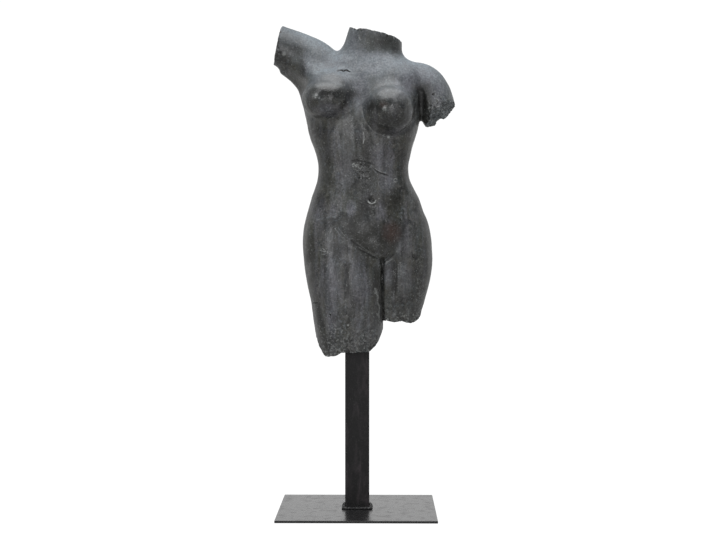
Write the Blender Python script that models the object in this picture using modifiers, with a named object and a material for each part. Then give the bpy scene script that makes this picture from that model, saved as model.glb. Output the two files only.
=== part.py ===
"""Torso sculpture on a square steel post and plate. Metres, +Z up, the figure faces -Y."""

import math
from typing import NamedTuple

import bmesh
import bpy
import numpy as np
from mathutils import Matrix, Vector, noise

# Driving dimensions of the stand
PLATE_SIDE = 0.260
PLATE_THICKNESS = 0.004
PLATE_EDGE_ROUND = 0.0006
POST_SIDE = 0.040
POST_WALL = 0.002
POST_HEIGHT = 0.2757
POST_CORNER_ROUND = 0.0020
WELD_LEG = 0.005
SEAT_DEPTH = 0.0218
FIT_GAP = 0.0003

# Driving dimension of the figure, from its lowest break to its highest
FIGURE_HEIGHT = 0.5518

# Where the pieces meet
POST_FOOT = PLATE_THICKNESS + FIT_GAP
POST_TOP = POST_FOOT + POST_HEIGHT
FIGURE_FOOT = POST_TOP - SEAT_DEPTH

# The weld: steps round the post, the corner's share of a side, and the bead's section in shares of its leg
WELD_STEPS = 96
WELD_CORNER_SHARE = 0.12
WELD_SECTION = ((0, 0), (1, 0), (0.86, 0.34), (0.40, 0.80), (0, 0.95))
# Its lumps: share of the leg, turn for each step, start
WELD_LUMPS = ((0.16, 2.4, 0.0), (0.10, 1.1, 1.0))

# The figure is drawn in its own units, which are about a millimetre at the height above
CLAY_VOXEL = 2.6
BREAK_REACH = 74.0
BREAK_STEPS = 48
FACES_KEPT = 8600
SHORTEST_EDGE = 0.1
SHARP_ANGLE = math.radians(35)

# Smoothing draws the skin in by this much, so each section starts that much wider
SKIN_LOSS_LEFT = 0.9
SKIN_LOSS_RIGHT = 0.2

STONE = (0.045, 0.047, 0.050, 1.0)
STEEL = (0.030, 0.030, 0.030, 1.0)

# Trunk sections: height, left, right, front, back, twist in degrees, squareness
TRUNK = (
    (404, -70, 108, -44, 52, 20, 2.2),
    (416, -86, 122, -52, 58, 20, 2.3),
    (430, -89, 126, -58, 62, 20, 2.3),
    (443, -89.8, 125.6, -60, 64, 20, 2.3),
    (457, -89.6, 124.2, -61, 64, 19, 2.3),
    (470, -88.1, 121.8, -61, 62, 18, 2.3),
    (483, -85.6, 118, -60, 58, 16, 2.3),
    (497, -82, 111.5, -58, 54, 14, 2.3),
    (510, -78.1, 107, -57, 50, 12, 2.3),
    (523, -74.7, 102, -56, 47, 10, 2.3),
    (537, -69.7, 94.3, -55, 45, 7, 2.3),
    (550, -66, 88, -54, 44, 4, 2.3),
    (564, -64.3, 85.2, -54, 44, 2, 2.3),
    (577, -64.4, 85.7, -55, 45, 0, 2.3),
    (590, -67.2, 88.6, -57, 47, -2, 2.35),
    (604, -71.4, 91.6, -59, 49, -4, 2.4),
    (617, -76.5, 95.8, -61, 52, -6, 2.4),
    (631, -80.9, 100, -62, 54, -8, 2.4),
    (651, -84.2, 103.5, -61, 57, -10, 2.4),
    (680, -87, 106, -57, 60, -12, 2.4),
    (705, -88, 108, -52, 62, -12, 2.4),
    (725, -86, 112, -46, 60, -12, 2.3),
    (740, -76, 106, -40, 56, -10, 2.2),
    (750, -60, 88, -36, 53, -8, 2.1),
    (758, -42, 78, -34, 50, -6, 2.0),
    (766, -31, 75, -33, 48, -4, 2.0),
    (778, -22.5, 75, -33, 45, 0, 2.0),
    (790, -18, 74, -33, 43, 0, 2.0),
    (803, -13.5, 72, -34, 42, 0, 2.0),
    (822, -8, 70, -36, 40, 0, 2.0),
)
# Thighs: the same columns, down past the broken ends
RIGHT_THIGH = (
    (232, -62, 38, -52, 34, 8, 2.2),
    (262, -64.5, 39.5, -56, 38, 9, 2.2),
    (283, -66.5, 40.5, -58, 41, 10, 2.2),
    (296, -69, 41.5, -60, 43, 11, 2.2),
    (310, -71.5, 43, -62, 45, 12, 2.2),
    (323, -73.2, 44.5, -64, 47, 13, 2.2),
    (350, -76.9, 46, -67, 50, 15, 2.2),
    (376, -82.4, 47, -69, 52, 17, 2.2),
    (403, -86.9, 47, -69, 54, 19, 2.2),
    (430, -89, 44, -66, 54, 20, 2.2),
    (450, -86, 40, -60, 50, 20, 2.2),
    (472, -78, 34, -50, 40, 20, 2.2),
)
LEFT_THIGH = (
    (286, 30, 98, -18, 50, 8, 2.2),
    (316, 27, 104, -22, 56, 10, 2.2),
    (336, 24, 109, -25, 60, 12, 2.2),
    (350, 22, 113.5, -28, 62, 13, 2.2),
    (376, 19, 120.3, -32, 66, 16, 2.2),
    (403, 17, 125.2, -35, 68, 18, 2.2),
    (430, 19, 126, -35, 68, 20, 2.2),
    (450, 26, 121, -30, 64, 20, 2.2),
    (472, 34, 112, -22, 54, 20, 2.2),
)
# Limbs along a line: x, y, z, radius in the picture plane, radius in depth
RIGHT_ARM = (
    (-20, 8, 706, 36, 36),
    (-46, 10, 722, 37, 37),
    (-70, 11, 743.5, 40.5, 37),
    (-98, 12, 762, 37.5, 34),
    (-132, 13, 778, 33, 31),
    (-160, 13, 790, 32, 30),
)
LEFT_ARM = (
    (70, 4, 714, 32, 36),
    (90, 3, 714, 34.5, 37),
    (107, 2, 708, 37.5, 37),
    (122, 1, 692, 36, 35),
    (133, 0, 671, 31.5, 33),
    (138.5, -1, 656, 30, 31),
    (141.5, -1, 647, 28.5, 29.5),
)
# Folds from the chest and the back to the raised arm
FRONT_FOLD = (
    (-48, -34, 690, 20, 17),
    (-63, -28, 712, 19, 17),
    (-82, -15, 733, 18, 17),
    (-106, -2, 752, 18, 17),
)
BACK_FOLD = (
    (-68, 28, 640, 16, 18),
    (-75.5, 29, 680, 17.5, 20),
    (-84, 26, 711, 18.5, 20),
    (-99, 21, 731, 19, 19),
    (-121, 15, 748, 19, 18),
)
# Swellings: centre, radii
SWELLINGS = (
    ((-50, -44, 682), (41, 39, 33)),
    ((-40, -33, 697), (44, 32, 34)),
    ((53, -49, 664), (41, 40, 41)),
    ((51, -36, 680), (36, 30, 40)),
    ((-30, 24, 432), (52, 42, 54)),
    ((46, 42, 438), (50, 42, 54)),
    ((100, 6, 706), (38, 38, 40)),
)
# Where inside corners are filled: centre, radii, how much
FILLED = (
    ((-92, 0, 722), (70, 90, 70), 1.0),
    ((-36, 0, 768), (40, 90, 30), 0.5),
    ((92, 0, 752), (50, 90, 40), 0.9),
    ((104, 10, 690), (40, 60, 40), 0.6),
    ((-40, -60, 722), (66, 50, 34), 1.0),
    ((52, -60, 712), (62, 50, 34), 1.0),
    ((8, 62, 450), (150, 60, 90), 0.7),
    ((-16, -60, 676), (22, 40, 44), 0.8),
    ((-44, -60, 648), (46, 40, 18), 0.8),
)
FILL_EVERYWHERE = 0.25
FILL_ROUNDS = 70
FILL_STRENGTH = 0.9
SMOOTH_ROUNDS = 4
# The chest's fold under the raised arm, rubbed smooth: centre, radii
SOFTENED = ((-72, -22, 728), (52, 46, 40))
SOFTEN_ROUNDS = 90
# Steep sides that stay as they are, the outer and lower sides of the breasts: centre, radii
KEPT_STEEP = (
    ((56, -62, 652), (58, 34, 44)),
    ((-70, -50, 676), (30, 40, 34)),
)
STEEP_KEPT = 0.95

# Strokes on the front: points (x, z), half width, depth (below 0 it is raised)
FRONT_STROKES = (
    (((4, 730), (4, 700), (5, 668)), 16, 1.3),
    (((5, 668), (10, 613), (18, 560), (23, 520)), 15, 1.5),
    (((24, 508), (28, 486)), 12, 0.9),
    (((-56, 575), (-40, 606), (-14, 632), (12, 644)), 16, 0.8),
    (((0, 644), (30, 630), (58, 604), (72, 570)), 16, 0.8),
    (((-30, 598), (-32, 556), (-32, 515), (-28, 488)), 12, 0.9),
    (((58, 598), (62, 556), (68, 515), (70, 488)), 12, 0.9),
    (((-52, 516), (-36, 488), (-10, 446)), 14, 0.9),
    (((-40, 488), (-28, 474), (-8, 451), (12, 435)), 12, 0.4),
    (((-20, 462), (-2, 444), (14, 431), (34, 420), (54, 409)), 8, 1.5),
    (((98, 520), (84, 486), (68, 446), (40, 408)), 11, 2.4),
    (((60, 428), (50, 418), (38, 408)), 6, 1.8),
    (((64, 424), (64, 390), (62, 350)), 7, 2.6),
    (((-18, 420), (-18, 382), (-17, 340)), 8, 2.6),
    (((-65, 356), (-60, 326), (-50, 284)), 9, 2.2),
    (((33, 560), (38, 536)), 5, -0.8),
    (((92, 405), (88, 370), (84, 335)), 10, 0.9),
    (((8, 741), (42, 745), (84, 745)), 10, -0.5),
    (((0, 741), (-24, 748), (-46, 758)), 10, -0.4),
    (((97, 704), (103, 684), (103, 660)), 9, 3.6),
)
BACK_STROKES = (
    (((22, 770), (22, 735), (22, 690), (17, 640), (11, 590), (6, 540), (1, 500)), 12, 3.4),
    (((1, 500), (0, 478), (4, 452), (8, 425), (12, 402)), 8, 7.0),
    (((-64, 398), (-40, 384), (-10, 386), (10, 400)), 8, 4.0),
    (((14, 402), (40, 390), (70, 392), (94, 404)), 8, 4.0),
    (((48, 726), (44, 700), (52, 672), (70, 660)), 9, 2.2),
    (((-6, 728), (-14, 700), (-30, 676), (-52, 668)), 9, 2.0),
    (((60, 716), (62, 694), (72, 676)), 15, -3.0),
    (((-26, 722), (-36, 700), (-54, 684)), 15, -3.0),
    (((34, 620), (30, 570), (22, 520)), 12, -2.4),
    (((0, 620), (-8, 570), (-14, 520)), 12, -2.4),
    (((-20, 497), (-19, 489)), 8, 1.8),
    (((21, 503), (22, 495)), 8, 1.8),
)
# The cleft between the thighs, pressed into the front alone: points (x, z), half width, depth, how far back
CLEFT = (((41.5, 418), (41, 390), (42, 350), (43.5, 310), (45, 290)), 4.2, 7.0, 10)
# Rims under the breasts: centre, radius, from and to in degrees, half width, depth
BREAST_RIMS = (
    ((-49, 682), 39.5, 178, 250, 6, 1.4),
    ((53, 664), 44, 170, 385, 5, 2.6),
)
# Soft places on the front: centre (x, z), radii, height
FRONT_SWELLS = (
    ((25, 478), (54, 46), 4.0),
    ((38, 589), (24, 26), 1.4),
    ((-42, 476), (16, 22), 1.2),
    ((50, 388), (8, 36), 3.4),
    ((-5, 498), (26, 46), 1.2),
    ((44, 500), (26, 46), 1.2),
    ((38, 438), (27, 24), 3.5),
    ((-42, 372), (20, 70), 2.6),
    ((4, 372), (18, 60), 2.6),
    ((72, 372), (24, 60), 2.6),
    ((-66.5, 680), (12, 13), 1.8),
    ((-66.5, 680), (6.5, 7), 2.8),
    ((44.5, 659), (12, 12), 1.8),
    ((44.5, 659), (6, 6), 2.6),
    ((24, 516), (6.5, 7), -5.0),
    ((24, 509), (6, 3), 1.2),
)


class Break(NamedTuple):
    """A broken end: its plane, and the heights of the broken face along one direction."""

    middle: tuple
    outward: tuple
    across: tuple
    half_width: float
    heights: tuple
    roughness: float
    lump: float


NECK = Break(
    middle=(30, 2, 794.3),
    outward=(0.20, 0.02, 0.98),
    across=(0.98, 0, -0.20),
    half_width=60,
    heights=((-60, 2), (-43, 1.8), (-36, 1), (-31, -2.4), (-26, 0.9), (-8, 0.5))
    + ((10, 0), (34, -0.8), (44, -3), (60, -9)),
    roughness=0.8,
    lump=10,
)
RAISED_ARM_END = Break(
    middle=(-134, 12, 776),
    outward=(-0.98, -0.04, 0.19),
    across=(0.19, 0, 0.98),
    half_width=60,
    heights=((-60, -6), (-40, -3), (-32, 0.5), (-20, 1), (24, 0.6), (30, -0.6), (40, -4), (60, -8)),
    roughness=0.5,
    lump=12,
)
LEFT_ARM_END = Break(
    middle=(141, -2, 662),
    outward=(0.63, -0.30, -0.71),
    across=(0.75, 0, 0.66),
    half_width=40,
    heights=((-60, -4), (-32, -1), (-25, 3), (-19, -1), (-13, -6), (-5, -5))
    + ((-1, 0.5), (8, 1.5), (14, -1.5), (22, 1), (29, 5), (60, 2)),
    roughness=3.0,
    lump=9,
)
LEFT_THIGH_END = Break(
    middle=(78, 14, 315),
    outward=(0, 0, -1),
    across=(1, 0, 0),
    half_width=35,
    heights=((-35, -1.5), (-31, -1), (-16, 0.5), (-4, -1), (10, 2), (20, 0))
    + ((25, -5), (31, -16), (35, -30)),
    roughness=1.7,
    lump=11,
)
RIGHT_THIGH_END = Break(
    middle=(-12, -6, 266),
    outward=(0, 0, -1),
    across=(1, 0, 0),
    half_width=62,
    heights=((-62, -40), (-54, -16), (-48, -4), (-42, 4.5), (-36, 7), (-24, 6.6), (-16, 2), (-8, 0))
    + ((31, -0.5), (36, -4.5), (43, -11.5), (48, -19.5), (54, -34), (62, -54)),
    roughness=1.7,
    lump=11,
)
BREAKS = (NECK, RAISED_ARM_END, LEFT_ARM_END, LEFT_THIGH_END, RIGHT_THIGH_END)
# A break's finer lumps: how much smaller, and their share of the roughness
FINER_LUMP, FINER_SHARE = 2.7, 0.5


def through(rows, at):
    """Values between the rows of a table, on one smooth curve; the first column is the place."""
    table = np.array(rows, float)
    places, values = table[:, 0], table[:, 1:]
    slopes = np.gradient(values, places, axis=0)
    step = np.clip(np.searchsorted(places, at) - 1, 0, len(places) - 2)
    gap = (places[step + 1] - places[step])[:, None]
    t = ((at - places[step])[:, None]) / gap
    start, end = values[step], values[step + 1]
    rise, fall = slopes[step] * gap, slopes[step + 1] * gap
    return (
        start * (2 * t**3 - 3 * t**2 + 1)
        + rise * (t**3 - 2 * t**2 + t)
        + end * (3 * t**2 - 2 * t**3)
        + fall * (t**3 - t**2)
    )


def section(height, left, right, front, back, twist, squareness, sides=72):
    """One level ring of the body: a rounded oval, turned by the twist, as wide as the outline there."""
    angles = np.linspace(0, 2 * math.pi, sides, endpoint=False)
    cosines, sines = np.cos(angles), np.sin(angles)
    left, right = left - SKIN_LOSS_LEFT, right + SKIN_LOSS_RIGHT
    across = np.sign(cosines) * np.abs(cosines) ** (2 / squareness)
    deep = np.sign(sines) * np.abs(sines) ** (2 / squareness)
    x = across * (right - left) / 2
    y = deep * (back - front) / 2
    turn = math.radians(twist)
    turned = x * math.cos(turn) - y * math.sin(turn)
    y = x * math.sin(turn) + y * math.cos(turn) + (front + back) / 2
    share = (turned - turned.min()) / (turned.max() - turned.min())
    return np.column_stack([left + share * (right - left), y, np.full(sides, height)])


def upright_rings(table, spacing=4.0):
    """Rings of a mass drawn by level sections."""
    heights = np.arange(table[0][0], table[-1][0] + spacing / 2, spacing)
    return [section(h, *row) for h, row in zip(heights, through(table, heights))]


def limb_rings(table, sides=40, count=24):
    """Rings square to a limb's own line."""
    rows = [(i, *row) for i, row in enumerate(table)]
    places = np.linspace(0, len(table) - 1, count)
    line = through(rows, places)
    along = np.gradient(line[:, :3], axis=0)
    angles = np.linspace(0, 2 * math.pi, sides, endpoint=False)
    rings = []
    for (x, y, z, upright, deep), heading in zip(line, along):
        heading = Vector(heading).normalized()
        first = heading.cross(Vector((0, 1, 0))).normalized()
        second = heading.cross(first)
        rings.append(
            np.array((x, y, z))
            + np.outer(np.cos(angles) * upright, first)
            + np.outer(np.sin(angles) * deep, second)
        )
    return rings


def add_loft(clay, rings):
    """Skins a row of rings and closes both ends."""
    loops = [[clay.verts.new(p) for p in ring] for ring in rings]
    count = len(loops[0])
    made = [
        clay.faces.new((a[i], a[(i + 1) % count], b[(i + 1) % count], b[i]))
        for a, b in zip(loops, loops[1:])
        for i in range(count)
    ]
    made += [clay.faces.new(loops[0]), clay.faces.new(loops[-1])]
    bmesh.ops.recalc_face_normals(clay, faces=made)


def add_swelling(clay, centre, radii):
    """A rounded lump of clay."""
    place = Matrix.Translation(centre) @ Matrix.Diagonal((*radii, 1))
    bmesh.ops.create_uvsphere(
        clay, u_segments=40, v_segments=24, radius=1, matrix=place
    )


def applied(obj):
    """The object's mesh with its modifiers applied; the object goes."""
    graph = bpy.context.evaluated_depsgraph_get()
    mesh = bpy.data.meshes.new_from_object(obj.evaluated_get(graph))
    bpy.data.objects.remove(obj)
    return mesh


def helper(name, mesh):
    """A scratch object for a modifier."""
    obj = bpy.data.objects.new(name, mesh)
    bpy.context.scene.collection.objects.link(obj)
    return obj


def clay_masses():
    """The body's masses, laid over each other and fused into one skin."""
    clay = bmesh.new()
    for table in (TRUNK, RIGHT_THIGH, LEFT_THIGH):
        add_loft(clay, upright_rings(table))
    for table in (RIGHT_ARM, LEFT_ARM, FRONT_FOLD, BACK_FOLD):
        add_loft(clay, limb_rings(table))
    for centre, radii in SWELLINGS:
        add_swelling(clay, centre, radii)
    mesh = bpy.data.meshes.new("clay")
    clay.to_mesh(mesh)
    clay.free()
    obj = helper("clay", mesh)
    fuse = obj.modifiers.new("fuse", "REMESH")
    fuse.mode = "VOXEL"
    fuse.voxel_size = CLAY_VOXEL
    return applied(obj)


def smooth_line(points, spacing=2.0):
    """A curve through a few points, evenly filled."""
    rows = [(i, *p) for i, p in enumerate(points)]
    length = sum(math.dist(a, b) for a, b in zip(points, points[1:]))
    places = np.linspace(0, len(points) - 1, max(3, round(length / spacing)))
    return through(rows, places)


def hill(distance):
    """A soft hill, 1 at 0 and 0 from 1 on."""
    return np.clip(1 - distance**2, 0, None) ** 2


class Skin:
    """The clay's surface as arrays, and the strokes that shape it."""

    def __init__(self, mesh):
        self.mesh = mesh
        self.points = np.empty(len(mesh.vertices) * 3, np.float32)
        mesh.vertices.foreach_get("co", self.points)
        self.points = self.points.reshape(-1, 3).astype(float)
        self.edges = np.empty(len(mesh.edges) * 2, np.int32)
        mesh.edges.foreach_get("vertices", self.edges)
        self.edges = self.edges.reshape(-1, 2)
        self.degree = np.bincount(self.edges.ravel(), minlength=len(self.points))

    def store(self):
        self.mesh.vertices.foreach_set("co", self.points.ravel().astype(np.float32))
        self.mesh.update()

    def normals(self):
        self.store()
        found = np.empty(len(self.points) * 3, np.float32)
        self.mesh.vertex_normals.foreach_get("vector", found)
        return found.reshape(-1, 3).astype(float)

    def pull(self):
        """From each point to the middle of its neighbours."""
        total = np.zeros_like(self.points)
        for here, there in ((0, 1), (1, 0)):
            for axis in range(3):
                total[:, axis] += np.bincount(
                    self.edges[:, here],
                    weights=self.points[self.edges[:, there], axis],
                    minlength=len(self.points),
                )
        return total / self.degree[:, None] - self.points

    def smooth(self, rounds, share=None):
        """Evens the skin out, everywhere or by each point's share."""
        amount = 0.5 if share is None else 0.5 * share[:, None]
        for _ in range(rounds):
            self.points += amount * self.pull()

    def around(self, centre, radii):
        """1 at a centre, fading to 0 at the radii."""
        return hill(np.linalg.norm((self.points - centre) / radii, axis=1))

    def fill_corners(self, rounds, share):
        """Presses clay into the inside corners; share holds how much for each point."""
        for _ in range(rounds):
            pull = self.pull()
            hollow = np.einsum("ij,ij->i", pull, self.normals()) > 0
            self.points += pull * (hollow * share)[:, None]

    def facing(self, normals, side):
        """1 where the skin faces the side (-1 front, 1 back), fading out round the body."""
        turned = np.clip((normals[:, 1] * side - 0.05) / 0.4, 0, 1)
        return turned * turned * (3 - 2 * turned)

    def press(self, path, half_width, depth, behind):
        """A cleft pressed straight back into the front, whichever way the skin faces."""
        line = smooth_line(path)
        front = np.flatnonzero(self.points[:, 1] < behind)
        flat = self.points[front][:, [0, 2]]
        apart = np.linalg.norm(flat[:, None] - line[None], axis=2).min(axis=1)
        self.points[front, 1] += hill(apart / half_width) * depth

    def stroke(self, path, half_width, depth, side=-1):
        """A groove, or a ridge where depth is below 0, drawn on the front or the back."""
        normals = self.normals()
        line = smooth_line(path)
        flat = self.points[:, [0, 2]]
        low = line.min(axis=0) - half_width
        high = line.max(axis=0) + half_width
        close = np.flatnonzero(((flat > low) & (flat < high)).all(axis=1))
        apart = np.linalg.norm(flat[close, None] - line[None], axis=2)
        nearest = apart.argmin(axis=1)
        place = nearest / (len(line) - 1)
        ends = np.clip(np.minimum(place, 1 - place) / 0.2, 0, 1)
        amount = hill(apart.min(axis=1) / half_width) * ends * depth
        amount *= self.facing(normals[close], side)
        self.points[close] -= normals[close] * amount[:, None]

    def swell(self, centre, radii, height, side=-1):
        """A soft lump, or a hollow where height is below 0."""
        normals = self.normals()
        apart = np.linalg.norm((self.points[:, [0, 2]] - centre) / radii, axis=1)
        amount = hill(apart) * height * self.facing(normals, side)
        self.points += normals * amount[:, None]


def arc(centre, radius, first, last):
    """Points (x, z) along part of a circle."""
    angles = np.radians(np.linspace(first, last, 9))
    return [(centre[0] + radius * math.cos(a), centre[1] + radius * math.sin(a)) for a in angles]


def model_figure():
    """The modelled figure, before its ends are broken off."""
    skin = Skin(clay_masses())
    share = np.full(len(skin.points), FILL_EVERYWHERE)
    for centre, radii, amount in FILLED:
        share = np.maximum(share, amount * skin.around(centre, radii))
    for centre, radii in KEPT_STEEP:
        share *= 1 - STEEP_KEPT * np.sqrt(skin.around(centre, radii))
    skin.smooth(SMOOTH_ROUNDS)
    skin.fill_corners(FILL_ROUNDS, share * FILL_STRENGTH)
    skin.smooth(SMOOTH_ROUNDS)
    skin.smooth(SOFTEN_ROUNDS, skin.around(*SOFTENED))
    for centre, radii, height in FRONT_SWELLS:
        skin.swell(centre, radii, height)
    skin.press(*CLEFT)
    for path, half_width, depth in FRONT_STROKES:
        skin.stroke(path, half_width, depth)
    for path, half_width, depth in BACK_STROKES:
        skin.stroke(path, half_width, depth, side=1)
    for centre, radius, first, last, half_width, depth in BREAST_RIMS:
        skin.stroke(arc(centre, radius, first, last), half_width, depth)
    skin.smooth(1)
    skin.store()
    return skin.mesh


def break_block(end):
    """A block beyond an end of the figure, whose inner side is the broken face."""
    out = Vector(end.outward).normalized()
    third = out.cross(Vector(end.across)).normalized()
    side = third.cross(out)
    middle = Vector(end.middle)
    profile = np.array(end.heights, float)
    block = bmesh.new()
    shape = Matrix.Diagonal((end.half_width, BREAK_REACH, 1, 1))
    bmesh.ops.create_grid(block, x_segments=BREAK_STEPS, y_segments=BREAK_STEPS, size=1, matrix=shape)
    for vert in block.verts:
        place = middle + side * vert.co.x + third * vert.co.y
        rise = float(np.interp(vert.co.x, profile[:, 0], profile[:, 1]))
        rise += end.roughness * noise.noise(place / end.lump)
        rise += end.roughness * FINER_SHARE * noise.noise(place / end.lump * FINER_LUMP)
        vert.co = place + out * rise
    pushed = bmesh.ops.extrude_face_region(block, geom=block.faces[:])["geom"]
    for item in pushed:
        if isinstance(item, bmesh.types.BMVert):
            item.co += out * (BREAK_REACH - (item.co - middle).dot(out))
    bmesh.ops.recalc_face_normals(block, faces=block.faces)
    mesh = bpy.data.meshes.new("break")
    block.to_mesh(mesh)
    block.free()
    return mesh


def cut_away(mesh, blocks):
    """The mesh with each block cut from it."""
    figure = helper("figure", mesh)
    cutters = [helper("block", block) for block in blocks]
    for cutter in cutters:
        cut = figure.modifiers.new("cut", "BOOLEAN")
        cut.operation = "DIFFERENCE"
        cut.object = cutter
    result = applied(figure)
    for cutter in cutters:
        bpy.data.objects.remove(cutter)
    return result


def without_slivers(mesh, shortest):
    """The mesh in triangles, with edges under the shortest length drawn together."""
    made = bmesh.new()
    made.from_mesh(mesh)
    bmesh.ops.triangulate(made, faces=made.faces)
    bmesh.ops.dissolve_degenerate(made, dist=shortest, edges=made.edges)
    bmesh.ops.triangulate(made, faces=made.faces)
    made.to_mesh(mesh)
    made.free()
    return mesh


def with_fewer_faces(mesh, wanted):
    """The same form in fewer triangles."""
    mesh.calc_loop_triangles()
    figure = helper("figure", mesh)
    fewer = figure.modifiers.new("fewer faces", "DECIMATE")
    fewer.ratio = wanted / len(mesh.loop_triangles)
    return applied(figure)


def to_size(mesh):
    """Scales the drawn figure to its real height, with its lowest point at the figure's foot."""
    heights = [vert.co.z for vert in mesh.vertices]
    unit = FIGURE_HEIGHT / (max(heights) - min(heights))
    mesh.transform(
        Matrix.Translation((0, 0, FIGURE_FOOT))
        @ Matrix.Scale(unit, 4)
        @ Matrix.Translation((0, 0, -min(heights)))
    )


def box(width, depth, bottom, top, edge_round=0.0, upright_only=False):
    """A box round the upright axis, its edges rounded where asked."""
    made = bmesh.new()
    bmesh.ops.create_cube(made, size=1)
    bmesh.ops.scale(made, verts=made.verts, vec=(width, depth, top - bottom))
    bmesh.ops.translate(made, verts=made.verts, vec=(0, 0, (top + bottom) / 2))
    if edge_round:
        edges = [
            edge
            for edge in made.edges
            if not upright_only or abs(edge.verts[0].co.z - edge.verts[1].co.z) > 1e-6
        ]
        bmesh.ops.bevel(made, geom=edges, offset=edge_round, segments=3, profile=0.5, affect="EDGES")
    mesh = bpy.data.meshes.new("box")
    made.to_mesh(mesh)
    made.free()
    return mesh


def torso_mesh():
    """The cast figure, with a square seat in its thigh for the post."""
    mesh = cut_away(model_figure(), [break_block(end) for end in BREAKS])
    mesh = with_fewer_faces(without_slivers(mesh, SHORTEST_EDGE), FACES_KEPT)
    to_size(mesh)
    width = POST_SIDE + 2 * FIT_GAP
    seat = box(width, width, FIGURE_FOOT - SEAT_DEPTH, POST_TOP + FIT_GAP)
    return cut_away(mesh, [seat])


def post_mesh():
    """A square tube, open at both ends."""
    inner = POST_SIDE - 2 * POST_WALL
    tube = box(POST_SIDE, POST_SIDE, POST_FOOT, POST_TOP, POST_CORNER_ROUND, upright_only=True)
    bore = box(inner, inner, POST_FOOT - POST_WALL, POST_TOP + POST_WALL)
    return cut_away(tube, [bore])


def weld_mesh():
    """A lumpy bead of weld laid round the foot of the post."""
    half, corner = POST_SIDE / 2 + FIT_GAP, POST_CORNER_ROUND
    straight = 2 * (half - corner)
    rings = []
    for step in range(WELD_STEPS):
        side, along = divmod(step / WELD_STEPS * 4, 1)
        if along < WELD_CORNER_SHARE:
            angle = math.radians(90 * (along / WELD_CORNER_SHARE - 1))
            away = Vector((math.cos(angle), math.sin(angle), 0))
            foot = Vector((half - corner, corner - half, 0)) + away * corner
        else:
            share = (along - WELD_CORNER_SHARE) / (1 - WELD_CORNER_SHARE)
            away = Vector((1, 0, 0))
            foot = Vector((half, corner - half + straight * share, 0))
        turned = Matrix.Rotation(math.radians(90 * side), 3, "Z")
        foot, away = turned @ foot, turned @ away
        leg = WELD_LEG * (1 + sum(size * math.cos(step * turn + start) for size, turn, start in WELD_LUMPS))
        rings.append(
            [foot + away * leg * out + Vector((0, 0, POST_FOOT + leg * up)) for out, up in WELD_SECTION]
        )
    bead = bmesh.new()
    loops = [[bead.verts.new(p) for p in ring] for ring in rings]
    count = len(WELD_SECTION)
    for here, there in zip(loops, loops[1:] + loops[:1]):
        for i in range(count):
            after = (i + 1) % count
            bead.faces.new((here[i], here[after], there[after], there[i]))
    bmesh.ops.recalc_face_normals(bead, faces=bead.faces)
    mesh = bpy.data.meshes.new("weld")
    bead.to_mesh(mesh)
    bead.free()
    return mesh


def material(name, colour, roughness, metallic):
    made = bpy.data.materials.new(name)
    made.use_nodes = True
    shader = made.node_tree.nodes["Principled BSDF"]
    shader.inputs["Base Color"].default_value = colour
    shader.inputs["Roughness"].default_value = roughness
    shader.inputs["Metallic"].default_value = metallic
    return made


def main():
    for obj in list(bpy.data.objects):
        bpy.data.objects.remove(obj)
    stone = material("dark cast stone", STONE, 0.5, 0.0)
    steel = material("black painted steel", STEEL, 0.4, 0.0)
    plate = box(PLATE_SIDE, PLATE_SIDE, 0, PLATE_THICKNESS, PLATE_EDGE_ROUND)
    pieces = {
        "torso": (torso_mesh(), stone),
        "post": (post_mesh(), steel),
        "base_plate": (plate, steel),
        "weld_bead": (weld_mesh(), steel),
    }
    collection = bpy.data.collections.new("torso sculpture")
    bpy.context.scene.collection.children.link(collection)
    for name, (mesh, look) in pieces.items():
        mesh.name = name
        mesh.materials.clear()
        mesh.materials.append(look)
        mesh.shade_smooth()
        mesh.set_sharp_from_angle(angle=SHARP_ANGLE)
        collection.objects.link(bpy.data.objects.new(name, mesh))


main()
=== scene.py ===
# %% [markdown]
# # A dark torso on a steel post
#
# A sculptor's cast of a classical torso, broken at the neck, the arms and the thighs, stands on a square
# steel post that is welded to a flat plate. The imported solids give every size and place. This lesson
# dresses them: it models the figure again with a finer skin, ages the stone and lights a white studio.

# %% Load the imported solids
import math
from typing import NamedTuple

import bmesh
import bpy
import numpy as np
from mathutils import Matrix, Vector, noise


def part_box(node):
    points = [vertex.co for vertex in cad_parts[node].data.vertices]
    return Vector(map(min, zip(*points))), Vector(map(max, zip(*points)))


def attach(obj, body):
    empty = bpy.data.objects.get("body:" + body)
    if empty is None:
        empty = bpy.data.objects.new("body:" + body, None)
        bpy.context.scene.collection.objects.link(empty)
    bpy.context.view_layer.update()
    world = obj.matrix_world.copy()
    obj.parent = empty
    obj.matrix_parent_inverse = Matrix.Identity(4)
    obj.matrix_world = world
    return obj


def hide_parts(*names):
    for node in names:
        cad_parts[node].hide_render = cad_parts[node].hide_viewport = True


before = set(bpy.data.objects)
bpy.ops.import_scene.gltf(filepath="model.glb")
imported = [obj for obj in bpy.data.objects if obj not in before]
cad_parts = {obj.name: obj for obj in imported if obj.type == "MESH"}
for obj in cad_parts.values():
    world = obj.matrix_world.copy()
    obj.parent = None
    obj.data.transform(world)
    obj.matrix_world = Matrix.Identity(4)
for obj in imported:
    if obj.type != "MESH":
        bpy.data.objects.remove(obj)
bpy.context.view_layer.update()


def placed(name, data):
    """A new object in the scene."""
    obj = bpy.data.objects.new(name, data)
    bpy.context.scene.collection.objects.link(obj)
    return obj


def finished(shape, name):
    """A mesh with the shape that was built."""
    mesh = bpy.data.meshes.new(name)
    shape.to_mesh(mesh)
    shape.free()
    return mesh


TORSO_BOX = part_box("torso")
POST_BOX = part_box("post")
WELD_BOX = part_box("weld_bead")

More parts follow.
